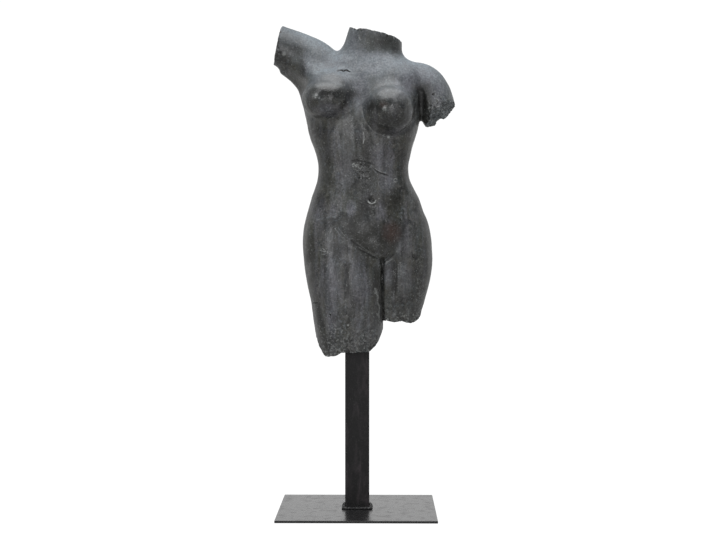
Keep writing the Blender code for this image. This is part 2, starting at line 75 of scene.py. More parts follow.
# %% [markdown]
# ## The camera
#
# The picture was taken from about two and a half metres with a short telephoto lens, a hand's breadth
# above the navel, almost level. The plate's edges run to a horizon, and that gives the camera's height.
# A camera could also be placed by eye, but these few numbers place it.

# %% Place the camera
CAMERA_PLACE = (0.0369, -2.4610, 0.4211)
CAMERA_DOWN = math.radians(0.472)
CAMERA_LEFT = math.radians(0.832)
SENSOR_WIDTH = 36.0
LENS = 74.04

camera_data = bpy.data.cameras.new("studio camera")
camera_data.sensor_width = SENSOR_WIDTH
camera_data.lens = LENS
camera = placed("studio_camera", camera_data)
camera.location = CAMERA_PLACE
camera.rotation_euler = (math.pi / 2 - CAMERA_DOWN, 0, CAMERA_LEFT)
bpy.context.scene.camera = camera
print("camera", CAMERA_PLACE, "lens", LENS)

# %% [markdown]
# ## The figure, drawn in a sculptor's millimetres
#
# A figure like this starts as clay on an armature: big masses first, then the smaller forms, and the
# breaks last. Digital sculpting by hand would need a mouse, and a scan would need the statue. So the
# masses are drawn here as a sculptor's sections: rounded ovals at many heights for the trunk and thighs,
# and round sections along a line for the arms and the folds of the armpit. Lengths are millimetres on the
# figure, with the floor at 0, the figure's middle near x 10, and the front towards minus y.

# %% Sections of the trunk and thighs: height, left, right, front, back, twist, squareness
TRUNK = (
    (404, -70, 108, -44, 52, 20, 2.2), (416, -86, 122, -52, 58, 20, 2.3),
    (430, -89, 126, -58, 62, 20, 2.3), (443, -89.8, 125.6, -60, 64, 20, 2.3),
    (457, -89.6, 124.2, -61, 64, 19, 2.3), (470, -88.1, 121.8, -61, 62, 18, 2.3),
    (483, -85.6, 118, -60, 58, 16, 2.3), (497, -82, 111.5, -58, 54, 14, 2.3),
    (510, -78.1, 107, -57, 50, 12, 2.3), (523, -74.7, 102, -56, 47, 10, 2.3),
    (537, -69.7, 94.3, -55, 45, 7, 2.3), (550, -66, 88, -54, 44, 4, 2.3),
    (564, -64.3, 85.2, -54, 44, 2, 2.3), (577, -64.4, 85.7, -55, 45, 0, 2.3),
    (590, -67.2, 88.6, -57, 47, -2, 2.35), (604, -71.4, 91.6, -59, 49, -4, 2.4),
    (617, -76.5, 95.8, -61, 52, -6, 2.4), (631, -80.9, 100, -62, 54, -8, 2.4),
    (651, -84.2, 103.5, -61, 57, -10, 2.4), (680, -87, 106, -57, 60, -12, 2.4),
    (705, -88, 108, -52, 62, -12, 2.4), (725, -86, 112, -46, 60, -12, 2.3),
    (740, -76, 106, -40, 56, -10, 2.2), (750, -60, 88, -36, 53, -8, 2.1),
    (758, -42, 78, -34, 50, -6, 2.0), (766, -31, 75, -33, 48, -4, 2.0),
    (778, -22.5, 75, -33, 45, 0, 2.0), (790, -18, 74, -33, 43, 0, 2.0),
    (803, -13.5, 72, -34, 42, 0, 2.0), (822, -8, 70, -36, 40, 0, 2.0),
)
RIGHT_THIGH = (
    (232, -62, 38, -52, 34, 8, 2.2), (262, -64.5, 39.5, -56, 38, 9, 2.2),
    (283, -66.5, 40.5, -58, 41, 10, 2.2), (296, -69, 41.5, -60, 43, 11, 2.2),
    (310, -71.5, 43, -62, 45, 12, 2.2), (323, -73.2, 44.5, -64, 47, 13, 2.2),
    (350, -76.9, 46, -67, 50, 15, 2.2), (376, -82.4, 47, -69, 52, 17, 2.2),
    (403, -86.9, 47, -69, 54, 19, 2.2), (430, -89, 44, -66, 54, 20, 2.2),
    (450, -86, 40, -60, 50, 20, 2.2), (472, -78, 34, -50, 40, 20, 2.2),
)
LEFT_THIGH = (
    (286, 30, 98, -18, 50, 8, 2.2), (316, 27, 104, -22, 56, 10, 2.2), (336, 24, 109, -25, 60, 12, 2.2),
    (350, 22, 113.5, -28, 62, 13, 2.2), (376, 19, 120.3, -32, 66, 16, 2.2),
    (403, 17, 125.2, -35, 68, 18, 2.2), (430, 19, 126, -35, 68, 20, 2.2),
    (450, 26, 121, -30, 64, 20, 2.2), (472, 34, 112, -22, 54, 20, 2.2),
)
print("sections:", len(TRUNK), "trunk,", len(RIGHT_THIGH) + len(LEFT_THIGH), "thighs")

# %% Limbs and folds along a line: x, y, z, radius in the picture, radius in depth
RIGHT_ARM = (
    (-20, 8, 706, 36, 36), (-46, 10, 722, 37, 37), (-70, 11, 743.5, 40.5, 37), (-98, 12, 762, 37.5, 34),
    (-132, 13, 778, 33, 31), (-160, 13, 790, 32, 30),
)
LEFT_ARM = (
    (70, 4, 714, 32, 36), (90, 3, 714, 34.5, 37), (107, 2, 708, 37.5, 37), (122, 1, 692, 36, 35),
    (133, 0, 671, 31.5, 33), (138.5, -1, 656, 30, 31), (141.5, -1, 647, 28.5, 29.5),
)
FRONT_FOLD = (
    (-48, -34, 690, 20, 17), (-63, -28, 712, 19, 17), (-82, -15, 733, 18, 17), (-106, -2, 752, 18, 17),
)
BACK_FOLD = (
    (-68, 28, 640, 16, 18), (-75.5, 29, 680, 17.5, 20), (-84, 26, 711, 18.5, 20),
    (-99, 21, 731, 19, 19), (-121, 15, 748, 19, 18),
)
# Breasts, buttocks and the left shoulder's cap: centre, radii
SWELLINGS = (
    ((-50, -44, 682), (41, 39, 33)), ((-40, -33, 697), (44, 32, 34)), ((53, -49, 664), (41, 40, 41)),
    ((51, -36, 680), (36, 30, 40)), ((-30, 24, 432), (52, 42, 54)), ((46, 42, 438), (50, 42, 54)),
    ((100, 6, 706), (38, 38, 40)),
)
print("limbs and folds: 4, swellings:", len(SWELLINGS))

# %% Small helpers: a smooth curve through rows of numbers, and the rings of a mass
def through(rows, at):
    """Values between the rows of a table, on one smooth curve; the first column is the place."""
    table = np.array(rows, float)
    places, values = table[:, 0], table[:, 1:]
    slopes = np.gradient(values, places, axis=0)
    step = np.clip(np.searchsorted(places, at) - 1, 0, len(places) - 2)
    gap = (places[step + 1] - places[step])[:, None]
    t = (at - places[step])[:, None] / gap
    start, end = values[step], values[step + 1]
    rise, fall = slopes[step] * gap, slopes[step + 1] * gap
    return (
        start * (2 * t**3 - 3 * t**2 + 1)
        + rise * (t**3 - 2 * t**2 + t)
        + end * (3 * t**2 - 2 * t**3)
        + fall * (t**3 - t**2)
    )


# Smoothing draws the skin in by this much, so each section starts that much wider
SKIN_LOSS_LEFT, SKIN_LOSS_RIGHT = 0.9, 0.2


def section(height, left, right, front, back, twist, squareness, sides=72):
    """One level ring: a rounded oval turned by the twist, exactly as wide as the outline there."""
    angles = np.linspace(0, 2 * math.pi, sides, endpoint=False)
    cosines, sines = np.cos(angles), np.sin(angles)
    left, right = left - SKIN_LOSS_LEFT, right + SKIN_LOSS_RIGHT
    x = np.sign(cosines) * np.abs(cosines) ** (2 / squareness) * (right - left) / 2
    y = np.sign(sines) * np.abs(sines) ** (2 / squareness) * (back - front) / 2
    turn = math.radians(twist)
    turned = x * math.cos(turn) - y * math.sin(turn)
    y = x * math.sin(turn) + y * math.cos(turn) + (front + back) / 2
    share = (turned - turned.min()) / (turned.max() - turned.min())
    return np.column_stack([left + share * (right - left), y, np.full(sides, height)])


def upright_rings(table, spacing=4.0):
    """Rings of a mass drawn by level sections."""
    heights = np.arange(table[0][0], table[-1][0] + spacing / 2, spacing)
    return [section(h, *row) for h, row in zip(heights, through(table, heights))]


def limb_rings(table, sides=40, count=24):
    """Rings square to a limb's own line."""
    rows = [(i, *row) for i, row in enumerate(table)]
    line = through(rows, np.linspace(0, len(table) - 1, count))
    along = np.gradient(line[:, :3], axis=0)
    angles = np.linspace(0, 2 * math.pi, sides, endpoint=False)
    rings = []
    for (x, y, z, upright, deep), heading in zip(line, along):
        heading = Vector(heading).normalized()
        first = heading.cross(Vector((0, 1, 0))).normalized()
        second = heading.cross(first)
        across = np.outer(np.cos(angles) * upright, first)
        rings.append(np.array((x, y, z)) + across + np.outer(np.sin(angles) * deep, second))
    return rings


print("first trunk ring:", len(section(*TRUNK[0])), "points")

# %% [markdown]
# ## Masses fused into one skin
#
# The masses overlap like lumps of clay pressed together. A voxel remesh turns them into one even skin, as
# a thumb would. Boolean unions could join them too, but they would leave hard seams and uneven faces.

# %% Skin the masses and fuse them
CLAY_VOXEL = 2.6


def add_loft(clay, rings):
    """Skins a row of rings and closes both ends."""
    loops = [[clay.verts.new(p) for p in ring] for ring in rings]
    count = len(loops[0])
    made = [
        clay.faces.new((a[i], a[(i + 1) % count], b[(i + 1) % count], b[i]))
        for a, b in zip(loops, loops[1:])
        for i in range(count)
    ]
    made += [clay.faces.new(loops[0]), clay.faces.new(loops[-1])]
    bmesh.ops.recalc_face_normals(clay, faces=made)


def applied(obj):
    """The object's mesh with its modifiers applied; the object goes."""
    graph = bpy.context.evaluated_depsgraph_get()
    mesh = bpy.data.meshes.new_from_object(obj.evaluated_get(graph))
    bpy.data.objects.remove(obj)
    return mesh


def clay_masses():
    """The body's masses, laid over each other and fused into one skin."""
    clay = bmesh.new()
    for table in (TRUNK, RIGHT_THIGH, LEFT_THIGH):
        add_loft(clay, upright_rings(table))
    for table in (RIGHT_ARM, LEFT_ARM, FRONT_FOLD, BACK_FOLD):
        add_loft(clay, limb_rings(table))
    for centre, radii in SWELLINGS:
        place = Matrix.Translation(centre) @ Matrix.Diagonal((*radii, 1))
        bmesh.ops.create_uvsphere(clay, u_segments=40, v_segments=24, radius=1, matrix=place)
    obj = placed("clay", finished(clay, "clay"))
    fuse = obj.modifiers.new("fuse", "REMESH")
    fuse.mode = "VOXEL"
    fuse.voxel_size = CLAY_VOXEL
    return applied(obj)


clay_mesh = clay_masses()
print("clay:", len(clay_mesh.polygons), "faces")

# %% [markdown]
# ## Modelling tools
#
# A sculptor's few moves are enough: smooth a place, press clay into an inside corner, draw a groove along
# a line, raise a soft lump. Here each is a few lines of arithmetic on all points at once. Blender's own
# Smooth and Displace modifiers could do parts of it, but not a groove that follows a drawn line.

# %% The skin and its strokes
def smooth_line(points, spacing=1.0):
    """A curve through a few points, evenly filled."""
    rows = [(i, *p) for i, p in enumerate(points)]
    length = sum(math.dist(a, b) for a, b in zip(points, points[1:]))
    return through(rows, np.linspace(0, len(points) - 1, max(3, round(length / spacing))))


def hill(distance):
    """A soft hill, 1 at 0 and 0 from 1 on."""
    return np.clip(1 - distance**2, 0, None) ** 2


class Skin:
    """A mesh's surface as arrays, and the moves that shape it."""

    def __init__(self, mesh):
        self.mesh = mesh
        flat = np.empty(len(mesh.vertices) * 3, np.float32)
        mesh.vertices.foreach_get("co", flat)
        self.points = flat.reshape(-1, 3).astype(float)
        pairs = np.empty(len(mesh.edges) * 2, np.int32)
        mesh.edges.foreach_get("vertices", pairs)
        self.edges = pairs.reshape(-1, 2)
        self.degree = np.bincount(self.edges.ravel(), minlength=len(self.points))

    def store(self):
        self.mesh.vertices.foreach_set("co", self.points.ravel().astype(np.float32))
        self.mesh.update()

    def normals(self):
        self.store()
        found = np.empty(len(self.points) * 3, np.float32)
        self.mesh.vertex_normals.foreach_get("vector", found)
        return found.reshape(-1, 3).astype(float)

    def spread(self, values):
        """Each point's value averaged over its neighbours."""
        total = np.zeros(len(values))
        for here, there in ((0, 1), (1, 0)):
            weights = values[self.edges[:, there]]
            total += np.bincount(self.edges[:, here], weights=weights, minlength=len(values))
        return total / self.degree

    def pull(self):
        """From each point to the middle of its neighbours."""
        middles = [self.spread(self.points[:, axis]) for axis in range(3)]
        return np.column_stack(middles) - self.points

    def smooth(self, rounds):
        for _ in range(rounds):
            self.points += 0.5 * self.pull()

    def around(self, centre, radii):
        """1 at a centre, fading to 0 at the radii."""
        return hill(np.linalg.norm((self.points - centre) / radii, axis=1))

    def fill_corners(self, rounds, share):
        """Presses clay into the inside corners; share holds how much for each point."""
        for _ in range(rounds):
            pull = self.pull()
            hollow = np.einsum("ij,ij->i", pull, self.normals()) > 0
            self.points += pull * (hollow * share)[:, None]

    def facing(self, normals, side):
        """1 where the skin faces the side (-1 front, 1 back), fading out round the body."""
        turned = np.clip((normals[:, 1] * side - 0.05) / 0.4, 0, 1)
        return turned * turned * (3 - 2 * turned)

    def along(self, path, half_width, side=-1, ends=0.2):
        """How strongly a line drawn on one side touches each point: indices and amounts."""
        line = smooth_line(path)
        flat = self.points[:, [0, 2]]
        low = line.min(axis=0) - half_width
        high = line.max(axis=0) + half_width
        close = np.flatnonzero(((flat > low) & (flat < high)).all(axis=1))
        apart = np.linalg.norm(flat[close, None] - line[None], axis=2)
        place = apart.argmin(axis=1) / (len(line) - 1)
        amount = hill(apart.min(axis=1) / half_width)
        if ends:
            amount *= np.clip(np.minimum(place, 1 - place) / ends, 0, 1)
        return close, amount * self.facing(self.normals()[close], side)

    def stroke(self, path, half_width, depth, side=-1):
        """A groove along a line, or a ridge where depth is below 0."""
        close, amount = self.along(path, half_width, side)
        self.points[close] -= self.normals()[close] * (amount * depth)[:, None]

    def press(self, path, half_width, depth):
        """A cleft pressed straight into the front, whichever way the skin faces."""
        line = smooth_line(path)
        front = np.flatnonzero(self.points[:, 1] < 10)
        apart = np.linalg.norm(self.points[front][:, None, [0, 2]] - line[None], axis=2).min(axis=1)
        self.points[front, 1] += hill(apart / half_width) * depth

    def swell(self, centre, radii, height, side=-1):
        """A soft lump, or a hollow where height is below 0."""
        normals = self.normals()
        apart = np.linalg.norm((self.points[:, [0, 2]] - centre) / radii, axis=1)
        amount = hill(apart) * height * self.facing(normals, side)
        self.points += normals * amount[:, None]


skin = Skin(clay_mesh)
print("skin:", len(skin.points), "points")

# %% [markdown]
# ## From masses to a body
#
# First the corners between the masses are filled, strongly at the shoulders and above the breasts and
# hardly at all below them, where a real cast keeps a crisp crease. Then come the forms that a visitor
# sees from a step away: belly, groins, the line between the thighs, ribs, spine and shoulder blades.

# %% Fill the corners between the masses
FILLED = (
    ((-92, 0, 722), (70, 90, 70), 1.0), ((-36, 0, 768), (40, 90, 30), 0.5),
    ((92, 0, 752), (50, 90, 40), 0.9), ((104, 10, 690), (40, 60, 40), 0.6),
    ((-40, -60, 722), (66, 50, 34), 1.0), ((52, -60, 712), (62, 50, 34), 1.0),
    ((8, 62, 450), (150, 60, 90), 0.7), ((-16, -60, 676), (22, 40, 44), 0.8),
    ((-44, -60, 648), (46, 40, 18), 0.8),
)
FILL_ROUNDS = 70
FILL_EVERYWHERE = 0.25
FILL_STEP = 0.9
EVENING_ROUNDS = 4
# Steep sides that stay nearly as they are: the outer and lower sides of the breasts
STEEP_KEPT = 0.95
KEPT_STEEP = (
    ((56, -62, 652), (58, 34, 44)), ((-70, -50, 676), (30, 40, 34)),
)

# The chest's fold under the raised arm is rubbed smooth: centre, radii, rounds
SOFTENED = ((-72, -22, 728), (52, 46, 40), 90)

share = np.full(len(skin.points), FILL_EVERYWHERE)
for centre, radii, amount in FILLED:
    share = np.maximum(share, amount * skin.around(centre, radii))
for centre, radii in KEPT_STEEP:
    share *= 1 - STEEP_KEPT * np.sqrt(skin.around(centre, radii))
skin.smooth(EVENING_ROUNDS)
skin.fill_corners(FILL_ROUNDS, share * FILL_STEP)
skin.smooth(EVENING_ROUNDS)
soft = 0.5 * skin.around(*SOFTENED[:2])
for _ in range(SOFTENED[2]):
    skin.points += skin.pull() * soft[:, None]
print("filled in", FILL_ROUNDS, "rounds")

# %% Soft places on the front: centre (x, z), radii, height
FRONT_SWELLS = (
    ((25, 478), (54, 46), 4.0), ((38, 589), (24, 26), 1.4), ((-42, 476), (16, 22), 1.2),
    ((50, 388), (8, 36), 3.4), ((-5, 498), (26, 46), 1.2), ((44, 500), (26, 46), 1.2),
    ((38, 438), (27, 24), 3.5), ((-42, 372), (20, 70), 2.6), ((4, 372), (18, 60), 2.6),
    ((72, 372), (24, 60), 2.6), ((-66.5, 680), (12, 13), 1.8), ((-66.5, 680), (6.5, 7), 2.8),
    ((44.5, 659), (12, 12), 1.8), ((44.5, 659), (6, 6), 2.6), ((24, 516), (6.5, 7), -5.0),
    ((24, 509), (6, 3), 1.2),
)
for centre, radii, height in FRONT_SWELLS:
    skin.swell(centre, radii, height)
print("swells:", len(FRONT_SWELLS))

# %% Lines drawn on the front and the back: points (x, z), half width, depth
FRONT_STROKES = (
    (((4, 730), (4, 700), (5, 668)), 16, 1.3),
    (((5, 668), (10, 613), (18, 560), (23, 520)), 15, 1.5),
    (((24, 508), (28, 486)), 12, 0.9),
    (((-56, 575), (-40, 606), (-14, 632), (12, 644)), 16, 0.8),
    (((0, 644), (30, 630), (58, 604), (72, 570)), 16, 0.8),
    (((-30, 598), (-32, 556), (-32, 515), (-28, 488)), 12, 0.9),
    (((58, 598), (62, 556), (68, 515), (70, 488)), 12, 0.9),
    (((-52, 516), (-36, 488), (-10, 446)), 14, 0.6),
    (((-40, 488), (-28, 474), (-8, 451), (12, 435)), 12, 0.4),
    (((-20, 462), (-2, 444), (14, 431), (34, 420), (54, 409)), 8, 1.5),
    (((98, 520), (84, 486), (68, 446), (40, 408)), 11, 2.4),
    (((60, 428), (50, 418), (38, 408)), 6, 1.8),
    (((62, 424), (62, 390), (60, 350)), 7, 2.8),
    (((-15, 420), (-15, 382), (-15, 340)), 8, 2.6),
    (((-65, 356), (-60, 326), (-50, 284)), 9, 2.2),
    (((33, 560), (38, 536)), 5, -0.8),
    (((92, 405), (88, 370), (84, 335)), 10, 0.9),
    (((8, 741), (42, 745), (84, 745)), 10, -0.5),
    (((0, 741), (-24, 748), (-46, 758)), 10, -0.4),
    (((100, 705), (107, 684), (107, 660)), 9, 4.2),
)
BACK_STROKES = (
    (((22, 770), (22, 735), (22, 690), (17, 640), (11, 590), (6, 540), (1, 500)), 12, 3.4),
    (((1, 500), (0, 478), (4, 452), (8, 425), (12, 402)), 8, 7.0),
    (((-64, 398), (-40, 384), (-10, 386), (10, 400)), 8, 4.0),
    (((14, 402), (40, 390), (70, 392), (94, 404)), 8, 4.0),
    (((48, 726), (44, 700), (52, 672), (70, 660)), 9, 2.2),
    (((-6, 728), (-14, 700), (-30, 676), (-52, 668)), 9, 2.0),
    (((60, 716), (62, 694), (72, 676)), 15, -3.0),
    (((-26, 722), (-36, 700), (-54, 684)), 15, -3.0),
    (((34, 620), (30, 570), (22, 520)), 12, -2.4),
    (((0, 620), (-8, 570), (-14, 520)), 12, -2.4),
    (((-20, 497), (-19, 489)), 8, 1.8),
    (((21, 503), (22, 495)), 8, 1.8),
)
# The cleft between the thighs: points (x, z), half width, depth
CLEFT = (((41.5, 418), (41, 390), (42, 350), (43.5, 310), (45, 290)), 4.2, 7.0)
# Rims under the breasts: centre, radius, from and to in degrees, half width, depth
BREAST_RIMS = (
    ((-49, 682), 39.5, 178, 250, 6, 1.4),
    ((53, 664), 44, 170, 385, 5, 2.6),
)


def arc(centre, radius, first, last):
    """Points (x, z) along part of a circle."""
    angles = np.radians(np.linspace(first, last, 9))
    return [(centre[0] + radius * math.cos(a), centre[1] + radius * math.sin(a)) for a in angles]


skin.press(*CLEFT)
for path, half_width, depth in FRONT_STROKES:
    skin.stroke(path, half_width, depth)
for path, half_width, depth in BACK_STROKES:
    skin.stroke(path, half_width, depth, side=1)
for centre, radius, first, last, half_width, depth in BREAST_RIMS:
    skin.stroke(arc(centre, radius, first, last), half_width, depth)
skin.smooth(1)
skin.store()
print("strokes:", len(FRONT_STROKES) + len(BACK_STROKES) + len(BREAST_RIMS))

# %% [markdown]
# ## The breaks
#
# The neck and the raised arm end in fairly clean faces, the left arm and the thighs in rough ones. Each
# end is cut with a block whose inner side is already a broken face: a fine grid, pushed up and down by
# noise. The block brings its own material, so that the fresh break can be rougher than the old skin.

# %% Cut the ends with rough blocks
BREAK_REACH = 74.0
BREAK_GRID = 2.45
FINE_ROUGHNESS, FINE_LIMIT, FINE_LUMP = 0.35, 1.6, 3.1


class Break(NamedTuple):
    """A broken end: where it is, which way it looks, and the heights across it."""

    middle: tuple
    outward: tuple
    across: tuple
    half_width: float
    heights: tuple
    roughness: float
    lump: float
    crumbling: float

    def directions(self):
        """Outward, sideways across the end, and the third direction."""
        out = Vector(self.outward).normalized()
        third = out.cross(Vector(self.across)).normalized()
        return out, third.cross(out), third


NECK_HEIGHTS = (
    (-60, 2), (-43, 1.8), (-36, 1), (-31, -2.4), (-26, 0.9),
    (-8, 0.5), (10, 0), (34, -0.8), (44, -3), (60, -9),
)
RAISED_ARM_HEIGHTS = (
    (-60, -6), (-40, -3), (-32, 0.5), (-20, 1), (24, 0.6), (30, -0.6), (40, -4), (60, -8),
)
LEFT_ARM_HEIGHTS = (
    (-60, -4), (-32, -1), (-25, 3), (-19, -1), (-13, -6), (-5, -5),
    (-1, 0.5), (8, 1.5), (14, -1.5), (22, 1), (29, 5), (60, 2),
)
LEFT_THIGH_HEIGHTS = (
    (-35, -1.5), (-31, -1), (-16, 0.5), (-4, -1), (10, 2), (20, 0), (25, -5), (31, -16), (35, -30),
)
RIGHT_THIGH_HEIGHTS = (
    (-62, -40), (-54, -16), (-48, -4), (-42, 4.5), (-36, 7), (-24, 6.6), (-16, 2),
    (-8, 0), (31, -0.5), (36, -4.5), (43, -11.5), (48, -19.5), (54, -34), (62, -54),
)
BREAKS = (
    Break((30, 2, 794.3), (0.20, 0.02, 0.98), (0.98, 0, -0.20), 60, NECK_HEIGHTS, 0.8, 10, 0.35),
    Break((-134, 12, 776), (-0.98, -0.04, 0.19), (0.19, 0, 0.98), 60, RAISED_ARM_HEIGHTS, 0.5, 12, 0.3),
    Break((141, -2, 662), (0.63, -0.30, -0.71), (0.75, 0, 0.66), 40, LEFT_ARM_HEIGHTS, 3.0, 9, 1.1),
    Break((78, 14, 315), (0, 0, -1), (1, 0, 0), 35, LEFT_THIGH_HEIGHTS, 1.7, 11, 1.0),
    Break((-12, -6, 266), (0, 0, -1), (1, 0, 0), 62, RIGHT_THIGH_HEIGHTS, 1.7, 11, 1.0),
)


def rough(place, lump):
    """Noise with a big lump and a finer one, about -1 to 1."""
    return noise.noise(place / lump) + 0.5 * noise.noise(place / lump * 2.7)


def break_block(end):
    """A block beyond an end of the figure, whose inner side is the broken face."""
    out, side, third = end.directions()
    profile = np.array(end.heights, float)
    block = bmesh.new()
    shape = Matrix.Diagonal((end.half_width, BREAK_REACH, 1, 1))
    steps = (round(2 * end.half_width / BREAK_GRID), round(2 * BREAK_REACH / BREAK_GRID))
    bmesh.ops.create_grid(block, x_segments=steps[0], y_segments=steps[1], size=1, matrix=shape)
    for vert in block.verts:
        place = Vector(end.middle) + side * vert.co.x + third * vert.co.y
        rise = float(np.interp(vert.co.x, profile[:, 0], profile[:, 1]))
        rise += end.roughness * rough(place, end.lump)
        rise += FINE_ROUGHNESS * min(end.roughness, FINE_LIMIT) * noise.noise(place / FINE_LUMP)
        vert.co = place + out * rise
    pushed = bmesh.ops.extrude_face_region(block, geom=block.faces[:])["geom"]
    for item in pushed:
        if isinstance(item, bmesh.types.BMVert):
            item.co += out * (BREAK_REACH - (item.co - Vector(end.middle)).dot(out))
    bmesh.ops.recalc_face_normals(block, faces=block.faces)
    return finished(block, "break")


patina = bpy.data.materials.new("resin-bonded cast stone, dark waxed patina")
core = bpy.data.materials.new("resin-bonded cast stone, broken face")


LEAST_KEPT = 0.8


def cut_away(mesh, blocks, solvers=("EXACT", "MANIFOLD")):
    """The mesh with each block cut from it; the cut faces take the block's material."""
    cutters = [placed("block", block) for block in blocks]
    # A cut can fail on a worn skin that crosses itself; then the next way of cutting is taken
    for solver in solvers:
        figure = placed("figure", mesh)
        for cutter in cutters:
            cut = figure.modifiers.new("cut", "BOOLEAN")
            cut.operation = "DIFFERENCE"
            cut.solver = solver
            cut.material_mode = "TRANSFER"
            cut.object = cutter
        result = applied(figure)
        print("cut", solver, len(mesh.polygons), "to", len(result.polygons), "faces")
        if len(result.polygons) > LEAST_KEPT * len(mesh.polygons):
            break
    for cutter in cutters:
        bpy.data.objects.remove(cutter)
    return result


skin.mesh.materials.append(patina)
blocks = [break_block(end) for end in BREAKS]
for block in blocks:
    block.materials.append(core)
figure_mesh = cut_away(skin.mesh, blocks)
print("after the breaks:", len(figure_mesh.polygons), "faces,", len(figure_mesh.materials), "materials")

# %% [markdown]
# ## Finer skin where the marks are
#
# A crack two millimetres wide needs points closer than that. Dividing the whole figure would give
# millions of faces, so only the faces beside a mark or near a break are divided.

# %% The small marks: path (x, z), half width, depth, paleness, darkness; on the groins the darkness is painted shade and the paleness a painted highlight
def ring_path(centre, wide, high, first=0, last=360, steps=13):
    """Points (x, z) on an oval."""
    angles = np.radians(np.linspace(first, last, steps))
    return [(centre[0] + wide * math.cos(a), centre[1] + high * math.sin(a)) for a in angles]


MARKS = (
    # The dark gouge on the chest
    (((-35, 727.6), (-26, 729.9), (-22, 728), (-18, 729.9), (-10.5, 725.8)), 1.9, 2.2, 0, 1.0),
    # A pale scratch down the middle of the ribs
    (((11.5, 627), (11.9, 616.4), (10.2, 606)), 1.2, -0.35, 0.9, 0),
    # The ring mark beside the waist
    (ring_path((63.8, 548.5), 2.9, 2.9), 1.0, -0.4, 0.8, 0),
    # Marks and a crease across the waist
    (((-8, 572), (-5, 575), (-1, 571), (3, 574.5)), 1.8, 0.8, 1.0, 0),
    (((2, 571), (5, 566.5), (9, 570), (12, 567)), 1.3, 0.7, 0.8, 0),
    (((-7, 567), (-2, 565), (3, 563.5)), 1.2, 0.5, 0.5, 0),
    (((-10, 579), (0, 580), (9, 577.5), (20, 576), (27, 571)), 2.2, 0.7, 0, 0.9),
    (((5, 573.5), (13, 573), (22, 569)), 2.0, 0.7, 0, 0.9),
    (((2, 562), (12, 560), (22, 562)), 2.0, 0.7, 0, 0.8),
    (((8, 552), (16, 551), (24, 553)), 1.5, 0.5, 0, 0.5),
    (((24, 572), (34.6, 561.5), (54.3, 555.3)), 2.0, 0.6, 0, 0.35),
    (((22, 574), (34, 564.5), (50, 558.8)), 1.1, -0.3, 0.5, 0),
    # The pale lower lip of the navel
    (ring_path((24.6, 515.2), 6.4, 5.4, 170, 370, 9), 1.7, -0.9, 1.0, 0),
    # Groins: a crease painted dark as shade, with a pale upper edge painted as a highlight, and the
    # second crease under the left one
    (((-12, 452), (-2, 443.5), (14.8, 431), (40, 416.4)), 1.5, 0.5, 0, 0.5),
    (((-4, 449), (14.8, 434.6), (34, 423.5)), 1.2, -0.2, 0.25, 0),
    (((-0.4, 437.7), (19.6, 426.4), (34.6, 418.9)), 1.4, 0.7, 0, 0.5),
    (((0, 440.4), (19.6, 429.2), (32, 423)), 1.0, -0.25, 0.4, 0),
    (((62, 428), (54, 420), (44.5, 413.6)), 1.7, 0.5, 0, 0.5),
    (((60, 420), (52, 415), (46, 410.5)), 1.6, -0.3, 0.5, 0),
    # Scratches on the right hip
    (((-62, 434), (-53.2, 431.5), (-44, 432.6)), 1.0, 0.35, 0.9, 0),
    (((-57, 438), (-50, 432), (-40, 426)), 0.9, 0.3, 0.8, 0),
    (((-58, 426), (-49, 428), (-42, 434)), 0.9, 0.3, 0.8, 0),
    (((-36, 470), (-28, 459), (-21, 451)), 0.9, 0.3, 0.6, 0),
    (((-31, 472), (-24, 462), (-17, 454)), 0.8, 0.3, 0.6, 0),
    # The slit on the right thigh and the hollow under it
    (((-78, 346.4), (-71, 346.2), (-63.4, 346.9)), 1.3, 1.6, 0, 1.0),
    # Pale ragged edges of the gap between the thighs
    (((31, 366), (34.5, 358), (34, 348), (37, 340), (36, 328), (38, 316)), 2.0, 0.35, 0.55, 0),
    (((38.5, 412), (38, 390), (38.5, 366)), 1.3, 0.2, 0.4, 0),
    (((28, 371), (31, 369), (33, 362), (34, 356)), 2.6, 0.5, 0.6, 0),
    # Strokes of a tool on the neck
    (((31, 777), (36, 770)), 0.9, 0.3, 0, 0.6),
    (((35, 778), (40, 771)), 0.9, 0.3, 0, 0.6),
    (((39, 778), (44, 771)), 0.9, 0.3, 0, 0.6),
    (((3.2, 790.6), (4.9, 780.5)), 2.0, 0.3, 0.5, 0),
)
# Small spots: centre (x, z), radius, height, paleness, dirt; on the last two, the nipples, the paleness
# is a soft painted highlight
SPOTS = (
    ((52.2, 618.4), 3.6, 1.3, 1.0, 0), ((29.7, 363.6), 3.4, -1.8, 0.5, 0.4),
    ((-43.6, 327.9), 2.2, -2.2, 0, 1.0), ((-14.2, 311), 2.2, 0.5, 1.0, 0),
    ((101, 352.8), 2.8, -1.2, 0.2, 0.7), ((99.4, 341), 3.0, -1.4, 0.2, 0.8),
    ((103, 327.4), 2.8, -1.3, 0.3, 0.6), ((-121.7, 759.8), 4.2, 0.5, 0.8, 0),
    ((138.8, 661.6), 3.4, -2.2, 0, 0.8), ((126, 690), 3.4, -1.6, 0, 0.7),
    ((132, 679), 2.8, -1.3, 0.3, 0.5), ((0, 573), 2.4, 0.6, 1.0, 0), ((-6, 570.5), 1.7, 0.4, 0.9, 0),
    ((6, 577), 1.6, 0.4, 0.8, 0), ((20, 551), 1.6, 0.3, 0.7, 0), ((-67, 683), 6.0, 0.2, 0.4, 0),
    ((46, 661), 5.0, 0.2, 0.45, 0),
)
print("marks:", len(MARKS), "lines,", len(SPOTS), "spots")

# %% Divide the faces beside the marks and near the breaks
MARK_REACHES = (3.0, 1.0)
MARK_MARGIN = 12.0
# Marks are on the skin in front of this depth
FRONT_DEPTH = 12.0
# Wear reaches this far from a break; the faces are divided a little less far
BREAK_BAND, DIVIDED_BAND = 12.0, 8.0
# Faces that look at the ground are left as they are, since nothing there is finely marked
GROUND_FACING = -0.8


